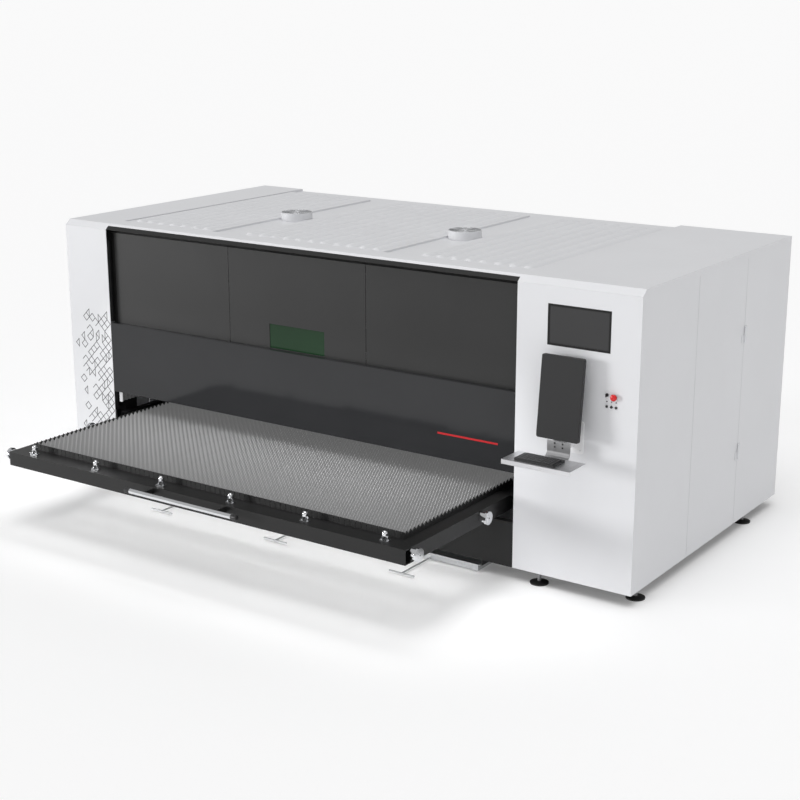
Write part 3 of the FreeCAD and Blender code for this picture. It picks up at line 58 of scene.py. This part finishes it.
AMBIENT = 0.47
KEY_POWER = 1.75
KEY_TOWARD = (-0.80, -0.60, 0.06)
KEY_SOFTNESS = 16.0
TOP_POWER = 1.30
TOP_TOWARD = (0.1, -0.25, 0.96)
TOP_SOFTNESS = 50.0
FILL_POWER = 16.0
FILL_SIZE = (3.3, 0.5)
FLOOR_GLOW = 0.12
FLOOR_REACH = 400.0

SLAT_STEEL = (0.27, 0.27, 0.273)
# strength of the bed slats' painted glow, though they are no lamp
SLAT_PAINTED_GLOW = 0.09
# colour of the painted shade on the slat ends inside the comb plates
SLAT_END_SHADE = (0.02, 0.02, 0.02, 1.0)


# ---- camera, light and floor ----

def add_camera():
    azimuth, elevation = math.radians(CAMERA_AZIMUTH), math.radians(CAMERA_ELEVATION)
    roll = math.radians(CAMERA_ROLL)
    forward = Vector((-math.sin(azimuth) * math.cos(elevation),
                      math.cos(azimuth) * math.cos(elevation), -math.sin(elevation)))
    right = forward.cross(Vector((0, 0, 1))).normalized()
    up = right.cross(forward)
    rolled_right = right * math.cos(roll) + up * math.sin(roll)
    rolled_up = up * math.cos(roll) - right * math.sin(roll)
    data = bpy.data.cameras.new("camera")
    data.sensor_width = 36.0
    data.lens = CAMERA_LENS
    data.clip_end = VIEW_REACH
    camera = bpy.data.objects.new("camera", data)
    bpy.context.collection.objects.link(camera)
    turn = Matrix((rolled_right, rolled_up, -forward)).transposed().to_4x4()
    camera.matrix_world = Matrix.Translation(CAMERA_PLACE) @ turn
    bpy.context.scene.camera = camera


def add_sun(name, toward, power, softness):
    """A wide soft light from one direction; toward points from the machine to the light."""
    data = bpy.data.lights.new(name, "SUN")
    data.energy = power
    data.angle = math.radians(softness)
    light = bpy.data.objects.new(name, data)
    bpy.context.collection.objects.link(light)
    light.matrix_world = (-Vector(toward)).to_track_quat("-Z", "Y").to_matrix().to_4x4()


def add_fill(name, place, target, wide, deep, power):
    """A strip of light that polished faces don't mirror."""
    data = bpy.data.lights.new(name, "AREA")
    data.shape = "RECTANGLE"
    data.size = wide
    data.size_y = deep
    data.energy = power
    data.spread = math.radians(100)
    light = bpy.data.objects.new(name, data)
    bpy.context.collection.objects.link(light)
    light.matrix_world = (Matrix.Translation(place)
                          @ (Vector(target) - Vector(place)).to_track_quat("-Z", "Y").to_matrix().to_4x4())
    light.visible_glossy = False
    light.visible_camera = False


def add_studio():
    world = bpy.data.worlds.new("studio")
    bpy.context.scene.world = world
    world.use_nodes = True
    background = world.node_tree.nodes["Background"]
    background.inputs["Color"].default_value = (1.0, 1.0, 1.0, 1.0)
    background.inputs["Strength"].default_value = AMBIENT
    add_sun("key", KEY_TOWARD, KEY_POWER, KEY_SOFTNESS)
    add_sun("top", TOP_TOWARD, TOP_POWER, TOP_SOFTNESS)
    add_fill("bed_fill", (MIDDLE, FRONT - 0.42, 1.55), (MIDDLE, FRONT - 0.30, 0.56), *FILL_SIZE, FILL_POWER)
    bpy.context.scene.view_settings.view_transform = "Standard"


def add_floor():
    mesh = bpy.data.meshes.new("floor")
    reach = FLOOR_REACH
    mesh.from_pydata([(-reach, -reach, 0), (reach, -reach, 0), (reach, reach, 0), (-reach, reach, 0)],
                     [], [(0, 1, 2, 3)])
    floor = bpy.data.objects.new("floor", mesh)
    bpy.context.collection.objects.link(floor)
    floor.location.z = -0.0005
    material = bpy.data.materials.new("floor_paper")
    material.use_nodes = True
    tree = material.node_tree
    shader = tree.nodes["Principled BSDF"]
    shader.inputs["Roughness"].default_value = 0.9
    shader.inputs["Specular IOR Level"].default_value = 0.0
    shader.inputs["Emission Strength"].default_value = FLOOR_GLOW
    shader.inputs["Emission Color"].default_value = (1.0, 1.0, 1.0, 1.0)
    grain = tree.nodes.new("ShaderNodeTexNoise")
    grain.inputs["Scale"].default_value = 2.0
    ramp = tree.nodes.new("ShaderNodeValToRGB")
    ramp.color_ramp.elements[0].color = (0.90, 0.90, 0.905, 1.0)
    ramp.color_ramp.elements[1].color = (0.93, 0.93, 0.93, 1.0)
    tree.links.new(grain.outputs["Fac"], ramp.inputs["Fac"])
    tree.links.new(ramp.outputs["Color"], shader.inputs["Base Color"])
    mesh.materials.append(material)


# ---- materials ----

class Finish:
    """A procedural material: colour that drifts, a fine grain for roughness and bump, and soft edges."""

    def __init__(self, name, color, spread=0.03, roughness=0.4, rough_spread=0.06, metallic=0.0,
                 grain=900.0, bump=0.08, depth=0.0002, edge=0.0015, specular=0.5, drift=2.5):
        self.material = bpy.data.materials.new(name)
        self.material.use_nodes = True
        self.tree = self.material.node_tree
        self.shader = self.tree.nodes["Principled BSDF"]
        self.shader.inputs["Metallic"].default_value = metallic
        self.shader.inputs["Specular IOR Level"].default_value = specular
        self.coordinates = self.new("ShaderNodeTexCoord").outputs["Object"]
        broad = self.noise(drift, 3.0)
        low = tuple(c * (1 - spread) for c in color) + (1.0,)
        high = tuple(min(c * (1 + spread), 1.0) for c in color) + (1.0,)
        self.color = self.ramp(broad, low, high)
        fine = self.noise(grain, 2.0)
        self.set_roughness(self.noise(28.0, 4.0), roughness, rough_spread)
        self.bump = self.add_bump(fine, bump, depth, edge)
        self.link(self.color, self.shader.inputs["Base Color"])

    def new(self, kind):
        return self.tree.nodes.new(kind)

    def link(self, source, target):
        self.tree.links.new(source, target)

    def stretched(self, scale):
        mapping = self.new("ShaderNodeMapping")
        mapping.inputs["Scale"].default_value = scale
        self.link(self.coordinates, mapping.inputs["Vector"])
        return mapping.outputs["Vector"]

    def noise(self, scale, detail, vector=None):
        node = self.new("ShaderNodeTexNoise")
        node.inputs["Scale"].default_value = scale
        node.inputs["Detail"].default_value = detail
        self.link(vector or self.coordinates, node.inputs["Vector"])
        return node.outputs["Fac"]

    def ramp(self, source, low, high, start=0.35, end=0.65):
        node = self.new("ShaderNodeValToRGB")
        node.color_ramp.elements[0].position = start
        node.color_ramp.elements[1].position = end
        node.color_ramp.elements[0].color = low
        node.color_ramp.elements[1].color = high
        self.link(source, node.inputs["Fac"])
        return node.outputs["Color"]

    def set_roughness(self, source, middle, spread):
        node = self.new("ShaderNodeMapRange")
        node.inputs["To Min"].default_value = max(middle - spread, 0.02)
        node.inputs["To Max"].default_value = middle + spread
        self.link(source, node.inputs["Value"])
        self.link(node.outputs["Result"], self.shader.inputs["Roughness"])

    def add_bump(self, source, strength, depth, edge):
        node = self.new("ShaderNodeBump")
        node.inputs["Strength"].default_value = strength
        node.inputs["Distance"].default_value = depth
        self.link(source, node.inputs["Height"])
        if edge:
            bevel = self.new("ShaderNodeBevel")
            bevel.samples = 4
            bevel.inputs["Radius"].default_value = edge
            self.link(bevel.outputs["Normal"], node.inputs["Normal"])
        self.link(node.outputs["Normal"], self.shader.inputs["Normal"])
        return node

    def mix(self, factor, first, second, target):
        """Blend two colours by a factor into one of the shader's inputs."""
        node = self.new("ShaderNodeMix")
        node.data_type = "RGBA"
        self.link(factor, node.inputs["Factor"])
        for socket, value in ((node.inputs[6], first), (node.inputs[7], second)):
            if isinstance(value, tuple):
                socket.default_value = value
            else:
                self.link(value, socket)
        self.link(node.outputs[2], target)
        return node.outputs[2]

    def zone(self, *limits):
        """1 where every (axis, operation, limit) holds for the place on the piece, else 0."""
        split = self.new("ShaderNodeSeparateXYZ")
        self.link(self.coordinates, split.inputs["Vector"])
        inside = None
        for axis, operation, limit in limits:
            test = self.new("ShaderNodeMath")
            test.operation = operation
            test.inputs[1].default_value = limit
            self.link(split.outputs[axis], test.inputs[0])
            if inside:
                both = self.new("ShaderNodeMath")
                both.operation = "MULTIPLY"
                self.link(inside, both.inputs[0])
                self.link(test.outputs["Value"], both.inputs[1])
                inside = both.outputs["Value"]
            else:
                inside = test.outputs["Value"]
        return inside

    def beyond(self, axis, limit):
        return self.zone((axis, "GREATER_THAN", limit))


def painted(name, color, **options):
    return Finish(name, color, **options)


def brushed(name, color, along, roughness=0.32, metallic=0.9):
    """Steel with fine lines along one axis."""
    finish = Finish(name, color, spread=0.06, roughness=roughness, metallic=metallic, bump=0.05)
    scale = [420.0, 420.0, 420.0]
    scale["xyz".index(along)] = 6.0
    lines = finish.noise(1.0, 5.0, finish.stretched(scale))
    finish.set_roughness(lines, roughness, 0.10)
    finish.mix(finish.noise(1.0, 4.0, finish.stretched([v * 0.6 for v in scale])),
               tuple(c * 0.88 for c in color) + (1.0,), tuple(min(c * 1.08, 1.0) for c in color) + (1.0,),
               finish.shader.inputs["Base Color"])
    return finish


def galvanised(name, color):
    """Zinc-coated sheet with its patchwork of crystals."""
    finish = Finish(name, color, roughness=0.42, metallic=0.75, bump=0.03)
    cells = finish.new("ShaderNodeTexVoronoi")
    cells.inputs["Scale"].default_value = 70.0
    finish.link(finish.coordinates, cells.inputs["Vector"])
    finish.mix(cells.outputs["Color"], tuple(c * 0.90 for c in color) + (1.0,),
               tuple(min(c * 1.06, 1.0) for c in color) + (1.0,), finish.shader.inputs["Base Color"])
    return finish


def make_finishes():
    made = {}
    made["white"] = painted("white_powder_coat", (0.72, 0.725, 0.745), spread=0.008, roughness=0.42)
    made["mount_white"] = painted("mount_white", (0.86, 0.86, 0.87), spread=0.01, roughness=0.35)
    made["dark"] = painted("dark_panel_coat", (0.021, 0.021, 0.021), spread=0.05, roughness=0.38,
                           specular=0.32)
    made["door"] = painted("gloss_door_coat", (0.020, 0.0205, 0.022), spread=0.04, roughness=0.10,
                           rough_spread=0.02, bump=0.01, specular=0.34, edge=0.002)
    made["low_dark"] = painted("low_panel_coat", (0.015, 0.015, 0.015), spread=0.05, roughness=0.4,
                               specular=0.25)
    made["trim"] = painted("black_trim", (0.006, 0.006, 0.006), roughness=0.3, specular=0.3)
    made["table"] = painted("table_black", (0.014, 0.014, 0.014), spread=0.08, roughness=0.36,
                            specular=0.3)
    made["comb"] = painted("comb_black", (0.012, 0.012, 0.012), spread=0.1, roughness=0.45)
    made["machine"] = painted("machine_grey", (0.20, 0.205, 0.215), spread=0.05, roughness=0.5)
    made["equipment"] = painted("equipment_grey", (0.45, 0.46, 0.47), spread=0.02, roughness=0.5)
    made["inside"] = painted("inside_black", (0.015, 0.015, 0.016), roughness=0.6)
    made["slat"] = slat_finish()
    made["lid"] = lid_finish()
    made["steel"] = brushed("brushed_steel", (0.74, 0.74, 0.76), "x", roughness=0.30)
    made["bracket"] = brushed("bracket_steel", (0.50, 0.50, 0.51), "z", roughness=0.34)
    made["chrome"] = Finish("polished_chrome", (0.80, 0.81, 0.83), spread=0.02, roughness=0.08,
                            rough_spread=0.03, metallic=1.0, bump=0.01, edge=0.001)
    made["zinc"] = galvanised("galvanised_sheet", (0.60, 0.61, 0.62))
    made["aluminium"] = brushed("machined_aluminium", (0.70, 0.71, 0.73), "z", roughness=0.36)
    made["glass"] = painted("black_glass", (0.022, 0.022, 0.023), spread=0.02, roughness=0.30,
                            rough_spread=0.02, bump=0.0, edge=0.0, specular=0.35)
    made["screen"] = painted("wall_screen_glass", (0.026, 0.026, 0.027), spread=0.02, roughness=0.07,
                             rough_spread=0.01, bump=0.0, edge=0.0, specular=0.5)
    made["plastic"] = painted("black_plastic", (0.016, 0.016, 0.017), spread=0.1, roughness=0.45,
                              grain=2200.0, bump=0.2, depth=0.0001, edge=0.0008)
    made["red"] = painted("red_button_plastic", (0.62, 0.012, 0.014), spread=0.04, roughness=0.25,
                          bump=0.02, edge=0.0)
    made["red_line"] = painted("red_accent_film", (0.42, 0.008, 0.012), spread=0.03, roughness=0.3, edge=0.0)
    made["lattice"] = painted("grey_film", (0.06, 0.06, 0.064), spread=0.15, roughness=0.5, edge=0.0)
    made["curtain"] = curtain_finish()
    made["feet"] = feet_finish()
    made["fittings"] = fittings_finish()
    made["window"] = window_finish()
    made["key_caps"] = key_finish()
    return made


def curtain_finish():
    """Grey pleated cloth, with the white bar at its front edge; the bar glows with painted light to stay white
    in the shade inside, and the cloth glows faintly.
    """
    finish = Finish("pleated_curtain", (0.20, 0.20, 0.21), spread=0.1, roughness=0.6, grain=1500.0, bump=0.2)
    bar_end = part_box("side_curtains")[0][1] + 0.0118
    behind = finish.beyond("Y", bar_end)
    finish.mix(behind, (0.80, 0.80, 0.82, 1.0), finish.color, finish.shader.inputs["Base Color"])
    # painted light: the bar glows pale grey and the cloth faintly, though neither is a lamp
    finish.mix(behind, (0.45, 0.45, 0.46, 1.0), (0.03, 0.03, 0.03, 1.0),
               finish.shader.inputs["Emission Color"])
    finish.shader.inputs["Emission Strength"].default_value = 1.0
    return finish


def lid_finish():
    """White paint, with the black lower band of the trim over the opening."""
    finish = painted("lid_powder_coat", (0.72, 0.725, 0.745), spread=0.008, roughness=0.42)
    band = finish.zone(("X", "GREATER_THAN", OPENING[0]), ("X", "LESS_THAN", OPENING[1]),
                       ("Y", "LESS_THAN", FRONT + 0.045), ("Z", "LESS_THAN", BAND_TOP))
    finish.mix(band, finish.color, (0.006, 0.006, 0.006, 1.0), finish.shader.inputs["Base Color"])
    return finish


def slat_finish():
    """Toothed steel with painted shade at the ends where they pass through the comb plates, and a faint
    painted glow on the rest.
    """
    finish = brushed("slat_steel", SLAT_STEEL, "y", roughness=0.5, metallic=0.0)
    low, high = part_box("bed_slats")
    body = finish.zone(("Y", "GREATER_THAN", low[1] + 0.015), ("Y", "LESS_THAN", high[1] - 0.015))
    # painted shade: the last 15 mm at each end, inside the comb plates, are painted near black
    finish.mix(body, SLAT_END_SHADE, (*SLAT_STEEL, 1.0), finish.shader.inputs["Base Color"])
    # painted light: the slat body glows faintly white so it looks more lit, though it is no lamp
    finish.shader.inputs["Emission Color"].default_value = (1.0, 1.0, 1.0, 1.0)
    slat_painted_glow = finish.new("ShaderNodeMath")
    slat_painted_glow.operation = "MULTIPLY"
    slat_painted_glow.inputs[1].default_value = SLAT_PAINTED_GLOW
    finish.link(body, slat_painted_glow.inputs[0])
    finish.link(slat_painted_glow.outputs["Value"], finish.shader.inputs["Emission Strength"])
    return finish


def feet_finish():
    """Black pads below bright studs and nuts."""
    finish = Finish("foot_rubber", (0.012, 0.012, 0.012), spread=0.15, roughness=0.5)
    metal = finish.beyond("Z", 0.0165)
    finish.mix(metal, finish.color, (0.30, 0.30, 0.31, 1.0), finish.shader.inputs["Base Color"])
    finish.link(metal, finish.shader.inputs["Metallic"])
    return finish


def fittings_finish():
    """A grey collar above and small smoked lamp lenses below."""
    finish = Finish("lamp_lens", (0.16, 0.16, 0.17), spread=0.1, roughness=0.25)
    finish.mix(finish.beyond("Z", 1.255), finish.color, (0.45, 0.45, 0.46, 1.0),
               finish.shader.inputs["Base Color"])
    return finish


def key_finish():
    """Dark keys on a darker case."""
    finish = Finish("keyboard_plastic", (0.014, 0.014, 0.015), spread=0.15, roughness=0.5, edge=0.0008)
    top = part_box("keyboard")[1][2] - 0.0035
    finish.mix(finish.beyond("Z", top), finish.color, (0.045, 0.045, 0.047, 1.0),
               finish.shader.inputs["Base Color"])
    return finish


def window_finish():
    finish = Finish("green_laser_glass", (0.010, 0.036, 0.014), spread=0.05, roughness=0.12,
                    rough_spread=0.02, bump=0.01, edge=0.0)
    finish.shader.inputs["Specular IOR Level"].default_value = 0.25
    return finish


NODE_FINISH = {
    "base_frame": "inside", "cabin_frame": "inside", "levelling_feet": "feet", "left_front_panel": "white",
    "right_front_panel": "white", "right_side_panels": "white", "left_side_panels": "white",
    "rear_panels": "white", "roof_lids": "lid", "roof_deck": "white", "roof_ribbed_panels": "white",
    "fan_guards": "white", "upper_panels": "dark", "viewing_window": "window", "opening_trims": "trim",
    "lower_panel": "low_dark", "door_columns": "inside", "table_rails": "inside", "x_beams": "inside",
    "side_curtains": "curtain", "laser_source": "equipment", "electrical_enclosures": "equipment",
    "exhaust_duct": "zinc", "power_gland": "plastic", "wall_screen": "screen", "monitor_mount": "mount_white",
    "monitor_bracket": "bracket", "keyboard_shelf": "steel", "keyboard": "key_caps",
    "panel_fittings": "fittings", "tray_runners": "inside", "right_service_door": "white",
    "lift_door": "door", "door_shoes": "machine", "table_frame": "table", "bed_slats": "slat",
    "comb_plates": "comb", "ball_transfers": "chrome", "table_handle": "chrome", "roller_axles": "steel",
    "gantry_beam": "machine", "head_carriage": "aluminium", "cutting_head": "aluminium", "monitor": "plastic",
    "emergency_stop": "red", "key_switch": "plastic", "fan_impeller_left": "plastic",
    "fan_impeller_right": "plastic", "slag_tray_left": "zinc", "slag_tray_middle": "zinc",
    "slag_tray_right": "zinc", "push_button_left": "plastic", "push_button_middle": "plastic",
    "push_button_right": "plastic",
}
ROLLERS = ["bed_roller_%s_%d" % (side, step) for side in ("left", "right") for step in (1, 2, 3)]


def paint_nodes(finishes):
    for name, node in nodes.items():
        finish = finishes["chrome" if name in ROLLERS else NODE_FINISH[name]]
        if not node.material_slots:
            node.data.materials.append(finish.material)
        for slot in node.material_slots:
            slot.material = finish.material


# ---- added pieces ----

def piece(name, body, finish, build):
    """A piece whose mesh a function draws in row-frame metres; it rides on a body."""
    mesh = bpy.data.meshes.new(name)
    drawing = bmesh.new()
    build(drawing)
    bmesh.ops.recalc_face_normals(drawing, faces=drawing.faces)
    drawing.to_mesh(mesh)
    drawing.free()
    obj = bpy.data.objects.new(name, mesh)
    bpy.context.collection.objects.link(obj)
    mesh.materials.append(finish.material)
    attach(obj, body)
    return obj


def smooth(obj, angle=0.6):
    for polygon in obj.data.polygons:
        polygon.use_smooth = True
    obj.data.set_sharp_from_angle(angle=angle)


def add_slab(drawing, low, high):
    corners = [drawing.verts.new((x, y, z)) for x in (low[0], high[0]) for y in (low[1], high[1])
               for z in (low[2], high[2])]
    for quad in ((0, 1, 3, 2), (4, 6, 7, 5), (0, 4, 5, 1), (2, 3, 7, 6), (0, 2, 6, 4), (1, 5, 7, 3)):
        drawing.faces.new([corners[i] for i in quad])


def add_lathe(drawing, centre, axis, outline, steps=48):
    """Turn an outline of (distance along the axis, radius) pairs round an axis."""
    axis = Vector(axis)
    side = axis.orthogonal().normalized()
    other = axis.cross(side)
    rings = []
    for along, radius in outline:
        base = Vector(centre) + axis * along
        if radius == 0:
            rings.append([drawing.verts.new(base)])
            continue
        rings.append([drawing.verts.new(base + (side * math.cos(a) + other * math.sin(a)) * radius)
                      for a in (2 * math.pi * s / steps for s in range(steps))])
    for low, high in zip(rings, rings[1:]):
        for s in range(steps):
            t = (s + 1) % steps
            corners = [low[s % len(low)], low[t % len(low)], high[t % len(high)], high[s % len(high)]]
            unique = list(dict.fromkeys(corners))
            if len(unique) > 2:
                drawing.faces.new(unique)


def add_ring(drawing, centre, radius, wire, steps=64, sides=8):
    """A ring of round wire lying flat."""
    rows = []
    for s in range(steps):
        turn = 2 * math.pi * s / steps
        out = Vector((math.cos(turn), math.sin(turn), 0))
        rows.append([drawing.verts.new(Vector(centre) + out * (radius + wire * math.cos(a))
                                       + Vector((0, 0, wire * math.sin(a))))
                     for a in (2 * math.pi * k / sides for k in range(sides))])
    for s in range(steps):
        for k in range(sides):
            following = (k + 1) % sides
            drawing.faces.new([rows[s][k], rows[(s + 1) % steps][k],
                               rows[(s + 1) % steps][following], rows[s][following]])


def add_ribbon(drawing, start, end, width, y):
    """A flat strip on the front plane, from start to end, given as (x, z)."""
    a, b = Vector(start), Vector(end)
    run = (b - a).normalized()
    side = Vector((-run.y, run.x)) * width / 2
    tip = run * width / 2
    corners = [a - tip + side, b + tip + side, b + tip - side, a - tip - side]
    drawing.faces.new([drawing.verts.new((c.x, y, c.y)) for c in corners])


def lattice_edges(low, high):
    """A loose field of diamonds and half diamonds, denser towards the opening and the floor."""
    rng = random.Random(11)
    wide, tall = 0.030, 0.0295
    edges = set()
    columns = int((high[0] - low[0]) / wide)
    rows = int((high[1] - low[1]) / tall)
    for i in range(1, columns):
        for j in range(1, rows):
            if (i + j) % 2:
                continue
            inward = i / columns
            clump = 0.5 + 0.5 * math.sin(1.1 * i + 0.55 * j) * math.cos(0.37 * j - 0.6 * i)
            chance = 1.15 * inward * (1.12 - 0.55 * (j / rows) ** 2) * (0.45 + 0.75 * clump)
            if rng.random() > chance:
                continue
            x, z = high[0] - (columns - i) * wide, low[1] + j * tall
            left, right, top, foot = (x - wide, z), (x + wide, z), (x, z + tall), (x, z - tall)
            shape = rng.choice("dddlru")
            wanted = {"d": ((left, top), (top, right), (right, foot), (foot, left)),
                      "l": ((left, top), (foot, left), (foot, top)),
                      "r": ((top, right), (right, foot), (foot, top)),
                      "u": ((left, top), (top, right), (right, foot))}[shape]
            for edge in wanted:
                edges.add(tuple(sorted((round(a, 4), round(b, 4)) for a, b in edge)))
    return sorted(edges)


def add_lattice(finishes):
    low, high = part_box("left_front_panel")
    field = ((low[0] + 0.03, 0.10), (high[0] - 0.004, 1.30))

    def draw(drawing):
        for start, end in lattice_edges(*field):
            if max(start[0], end[0]) <= high[0] - 0.002:
                add_ribbon(drawing, start, end, 0.0050, FRONT - 0.0004)

    piece("front_lattice_film", "machine", finishes["lattice"], draw)


def add_door_line(finishes):
    def draw(drawing):
        low, high = ACCENT
        add_slab(drawing, (low[0], FRONT - 0.0005, low[1]), (high[0], FRONT, high[1]))

    piece("door_accent_line", "lift_door", finishes["red_line"], draw)


ACCENT = ((0.93, 0.852), (1.37, 0.864))


def add_handle_caps(finishes):
    low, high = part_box("table_handle")
    radius = (high[2] - low[2]) / 2
    y, z = (low[1] + high[1]) / 2, (low[2] + high[2]) / 2
    cap = [(-0.012, 0), (-0.012, radius * 0.8), (-0.008, radius + 0.0012), (0.03, radius + 0.0012),
           (0.032, radius + 0.0002), (0.032, radius * 0.5)]

    def draw(drawing):
        add_lathe(drawing, (low[0], y, z), (1, 0, 0), cap)
        add_lathe(drawing, (high[0], y, z), (-1, 0, 0), cap)

    smooth(piece("handle_end_caps", "table", finishes["plastic"], draw))


def add_roller_screws(finishes):
    """A polished end cap with a small dark socket in the middle of each bed roller."""
    cap = [(-0.001, 0.019), (0.0012, 0.019), (0.0020, 0.0180), (0.0020, 0.0045),
           (0.0005, 0.0045), (0.0005, 0)]
    socket = [(0.0006, 0.0044), (0.0022, 0.0044), (0.0022, 0.0022), (0.0010, 0.0022), (0.0010, 0)]
    for name in ROLLERS:
        low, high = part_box(name)
        side = 1 if "right" in name else -1
        face = high[0] if side > 0 else low[0]
        centre = (face, (low[1] + high[1]) / 2, (low[2] + high[2]) / 2)
        for kind, outline, finish, slot in (("cap", cap, "chrome", "chrome"),
                                            ("socket", socket, "plastic", "black_plastic")):
            smooth(piece(name + "_" + kind, name.replace("bed_", ""), finishes[finish],
                         lambda drawing: add_lathe(drawing, centre, (side, 0, 0), outline, 32)))


def add_stop_button(finishes):
    """The mushroom head of the emergency stop, with a rounded rim and a waist."""
    low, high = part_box("emergency_stop")
    radius = (high[2] - low[2]) / 2
    centre = ((low[0] + high[0]) / 2, low[1], (low[2] + high[2]) / 2)
    outline = [(0.0, 0), (0.0005, radius * 0.45), (0.002, radius * 0.78), (0.005, radius * 0.95),
               (0.008, radius), (0.013, radius), (0.016, radius * 0.94), (0.016, radius * 0.62),
               (0.020, radius * 0.5), (0.0245, radius * 0.46), (0.0245, 0.0079), (high[1] - low[1], 0.0079),
               (high[1] - low[1], 0)]
    head = piece("stop_mushroom", "emergency_stop", finishes["red"],
                 lambda drawing: add_lathe(drawing, centre, (0, 1, 0), outline))
    smooth(head)
    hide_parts("emergency_stop")


def add_screws(name, body, finish, centres, radius, height):
    """Button-head screws on faces that look to the front."""
    outline = [(-height, radius * 0.35), (-height * 0.55, radius * 0.35), (-height * 0.55, 0)]
    dome = [(0.0005, radius), (-height * 0.45, radius), (-height, radius * 0.6)]

    def draw(drawing):
        for centre in centres:
            add_lathe(drawing, centre, (0, 1, 0), dome + outline, 20)

    smooth(piece(name, body, finish, draw))


def add_operator_details(finishes):
    low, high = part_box("monitor_bracket")
    middle = (low[0] + high[0]) / 2
    face = high[1] - 0.004
    add_screws("bracket_screws", "machine", finishes["plastic"],
               [(middle + dx, face, z) for dx in (-0.026, 0.026) for z in (0.950, 0.973)], 0.0055, 0.003)
    wall = FRONT - 0.006
    add_screws("wall_plate_screws", "machine", finishes["steel"],
               [(middle + dx, wall, z) for dx in (-0.087, 0.087) for z in (0.918, 1.078)], 0.006, 0.003)
    low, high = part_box("wall_screen")

    def screen_frame(drawing):
        edge, front, back = 0.009, FRONT - 0.0012, FRONT + 0.001
        add_slab(drawing, (low[0] - 0.004, front, high[2] - edge), (high[0] + 0.004, back, high[2] + 0.004))
        add_slab(drawing, (low[0] - 0.004, front, low[2] - 0.004), (high[0] + 0.004, back, low[2] + edge))
        add_slab(drawing, (low[0] - 0.004, front, low[2] + edge), (low[0] + edge, back, high[2] - edge))
        add_slab(drawing, (high[0] - edge, front, low[2] + edge), (high[0] + 0.004, back, high[2] - edge))

    piece("wall_screen_frame", "machine", finishes["trim"], screen_frame)


def rounded_outline(wide, high, radius, steps=8):
    points = []
    for cx, cy, start in ((wide / 2, high / 2, 0), (-wide / 2, high / 2, 90), (-wide / 2, -high / 2, 180),
                          (wide / 2, -high / 2, 270)):
        sx, sy = math.copysign(1, cx), math.copysign(1, cy)
        for k in range(steps + 1):
            a = math.radians(start + 90 * k / steps)
            points.append((cx - sx * radius + radius * math.cos(a), cy - sy * radius + radius * math.sin(a)))
    return points


def add_monitor_details(finishes):
    """The monitor's glass front and its stepped back, both tilted with it."""
    low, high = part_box("monitor")
    lean = math.radians(6.0)
    middle = (low[0] + high[0]) / 2
    up = Vector((0, math.sin(lean), math.cos(lean)))
    out = Vector((0, -math.cos(lean), math.sin(lean)))
    wide, tall = 0.280, 0.497
    front = Vector((middle, FRONT - 0.134, 1.000)) + up * tall / 2

    def sheet(drawing, width, height, radius, near, far):
        rings = []
        for depth, shrink in ((far, 0.0), (near - 0.0008, 0.0), (near, 0.0012)):
            rings.append([drawing.verts.new(front + out * depth + Vector((1, 0, 0)) * u + up * v)
                          for u, v in rounded_outline(width - shrink, height - shrink, radius)])
        for a, b in zip(rings, rings[1:]):
            for k in range(len(a)):
                drawing.faces.new([a[k], a[(k + 1) % len(a)], b[(k + 1) % len(a)], b[k]])
        drawing.faces.new(rings[0])
        drawing.faces.new(rings[-1])

    piece("monitor_glass", "monitor", finishes["glass"],
                  lambda drawing: sheet(drawing, wide - 0.006, tall - 0.006, 0.012, 0.0016, -0.001))
    piece("monitor_back_cover", "monitor", finishes["plastic"],
          lambda drawing: sheet(drawing, wide - 0.05, tall - 0.08, 0.02, -0.010, -0.028))


def add_fan_guards(finishes):
    """Rings of wire over each roof fan."""
    for side, body in (("left", "fan_impeller_left"), ("right", "fan_impeller_right")):
        low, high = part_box(body)
        centre = Vector(((low[0] + high[0]) / 2, (low[1] + high[1]) / 2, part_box("fan_guards")[1][2] - 0.002))

        def draw(drawing):
            for radius in (0.030, 0.048, 0.066, 0.084, 0.100, 0.111):
                add_ring(drawing, centre, radius, 0.0018)

        smooth(piece("fan_wire_guard_" + side, "machine", finishes["chrome"], draw))


def main():
    add_camera()
    add_studio()
    add_floor()
    finishes = make_finishes()
    paint_nodes(finishes)
    add_lattice(finishes)
    add_door_line(finishes)
    add_handle_caps(finishes)
    add_roller_screws(finishes)
    add_stop_button(finishes)
    add_operator_details(finishes)
    add_monitor_details(finishes)
    add_fan_guards(finishes)


main()
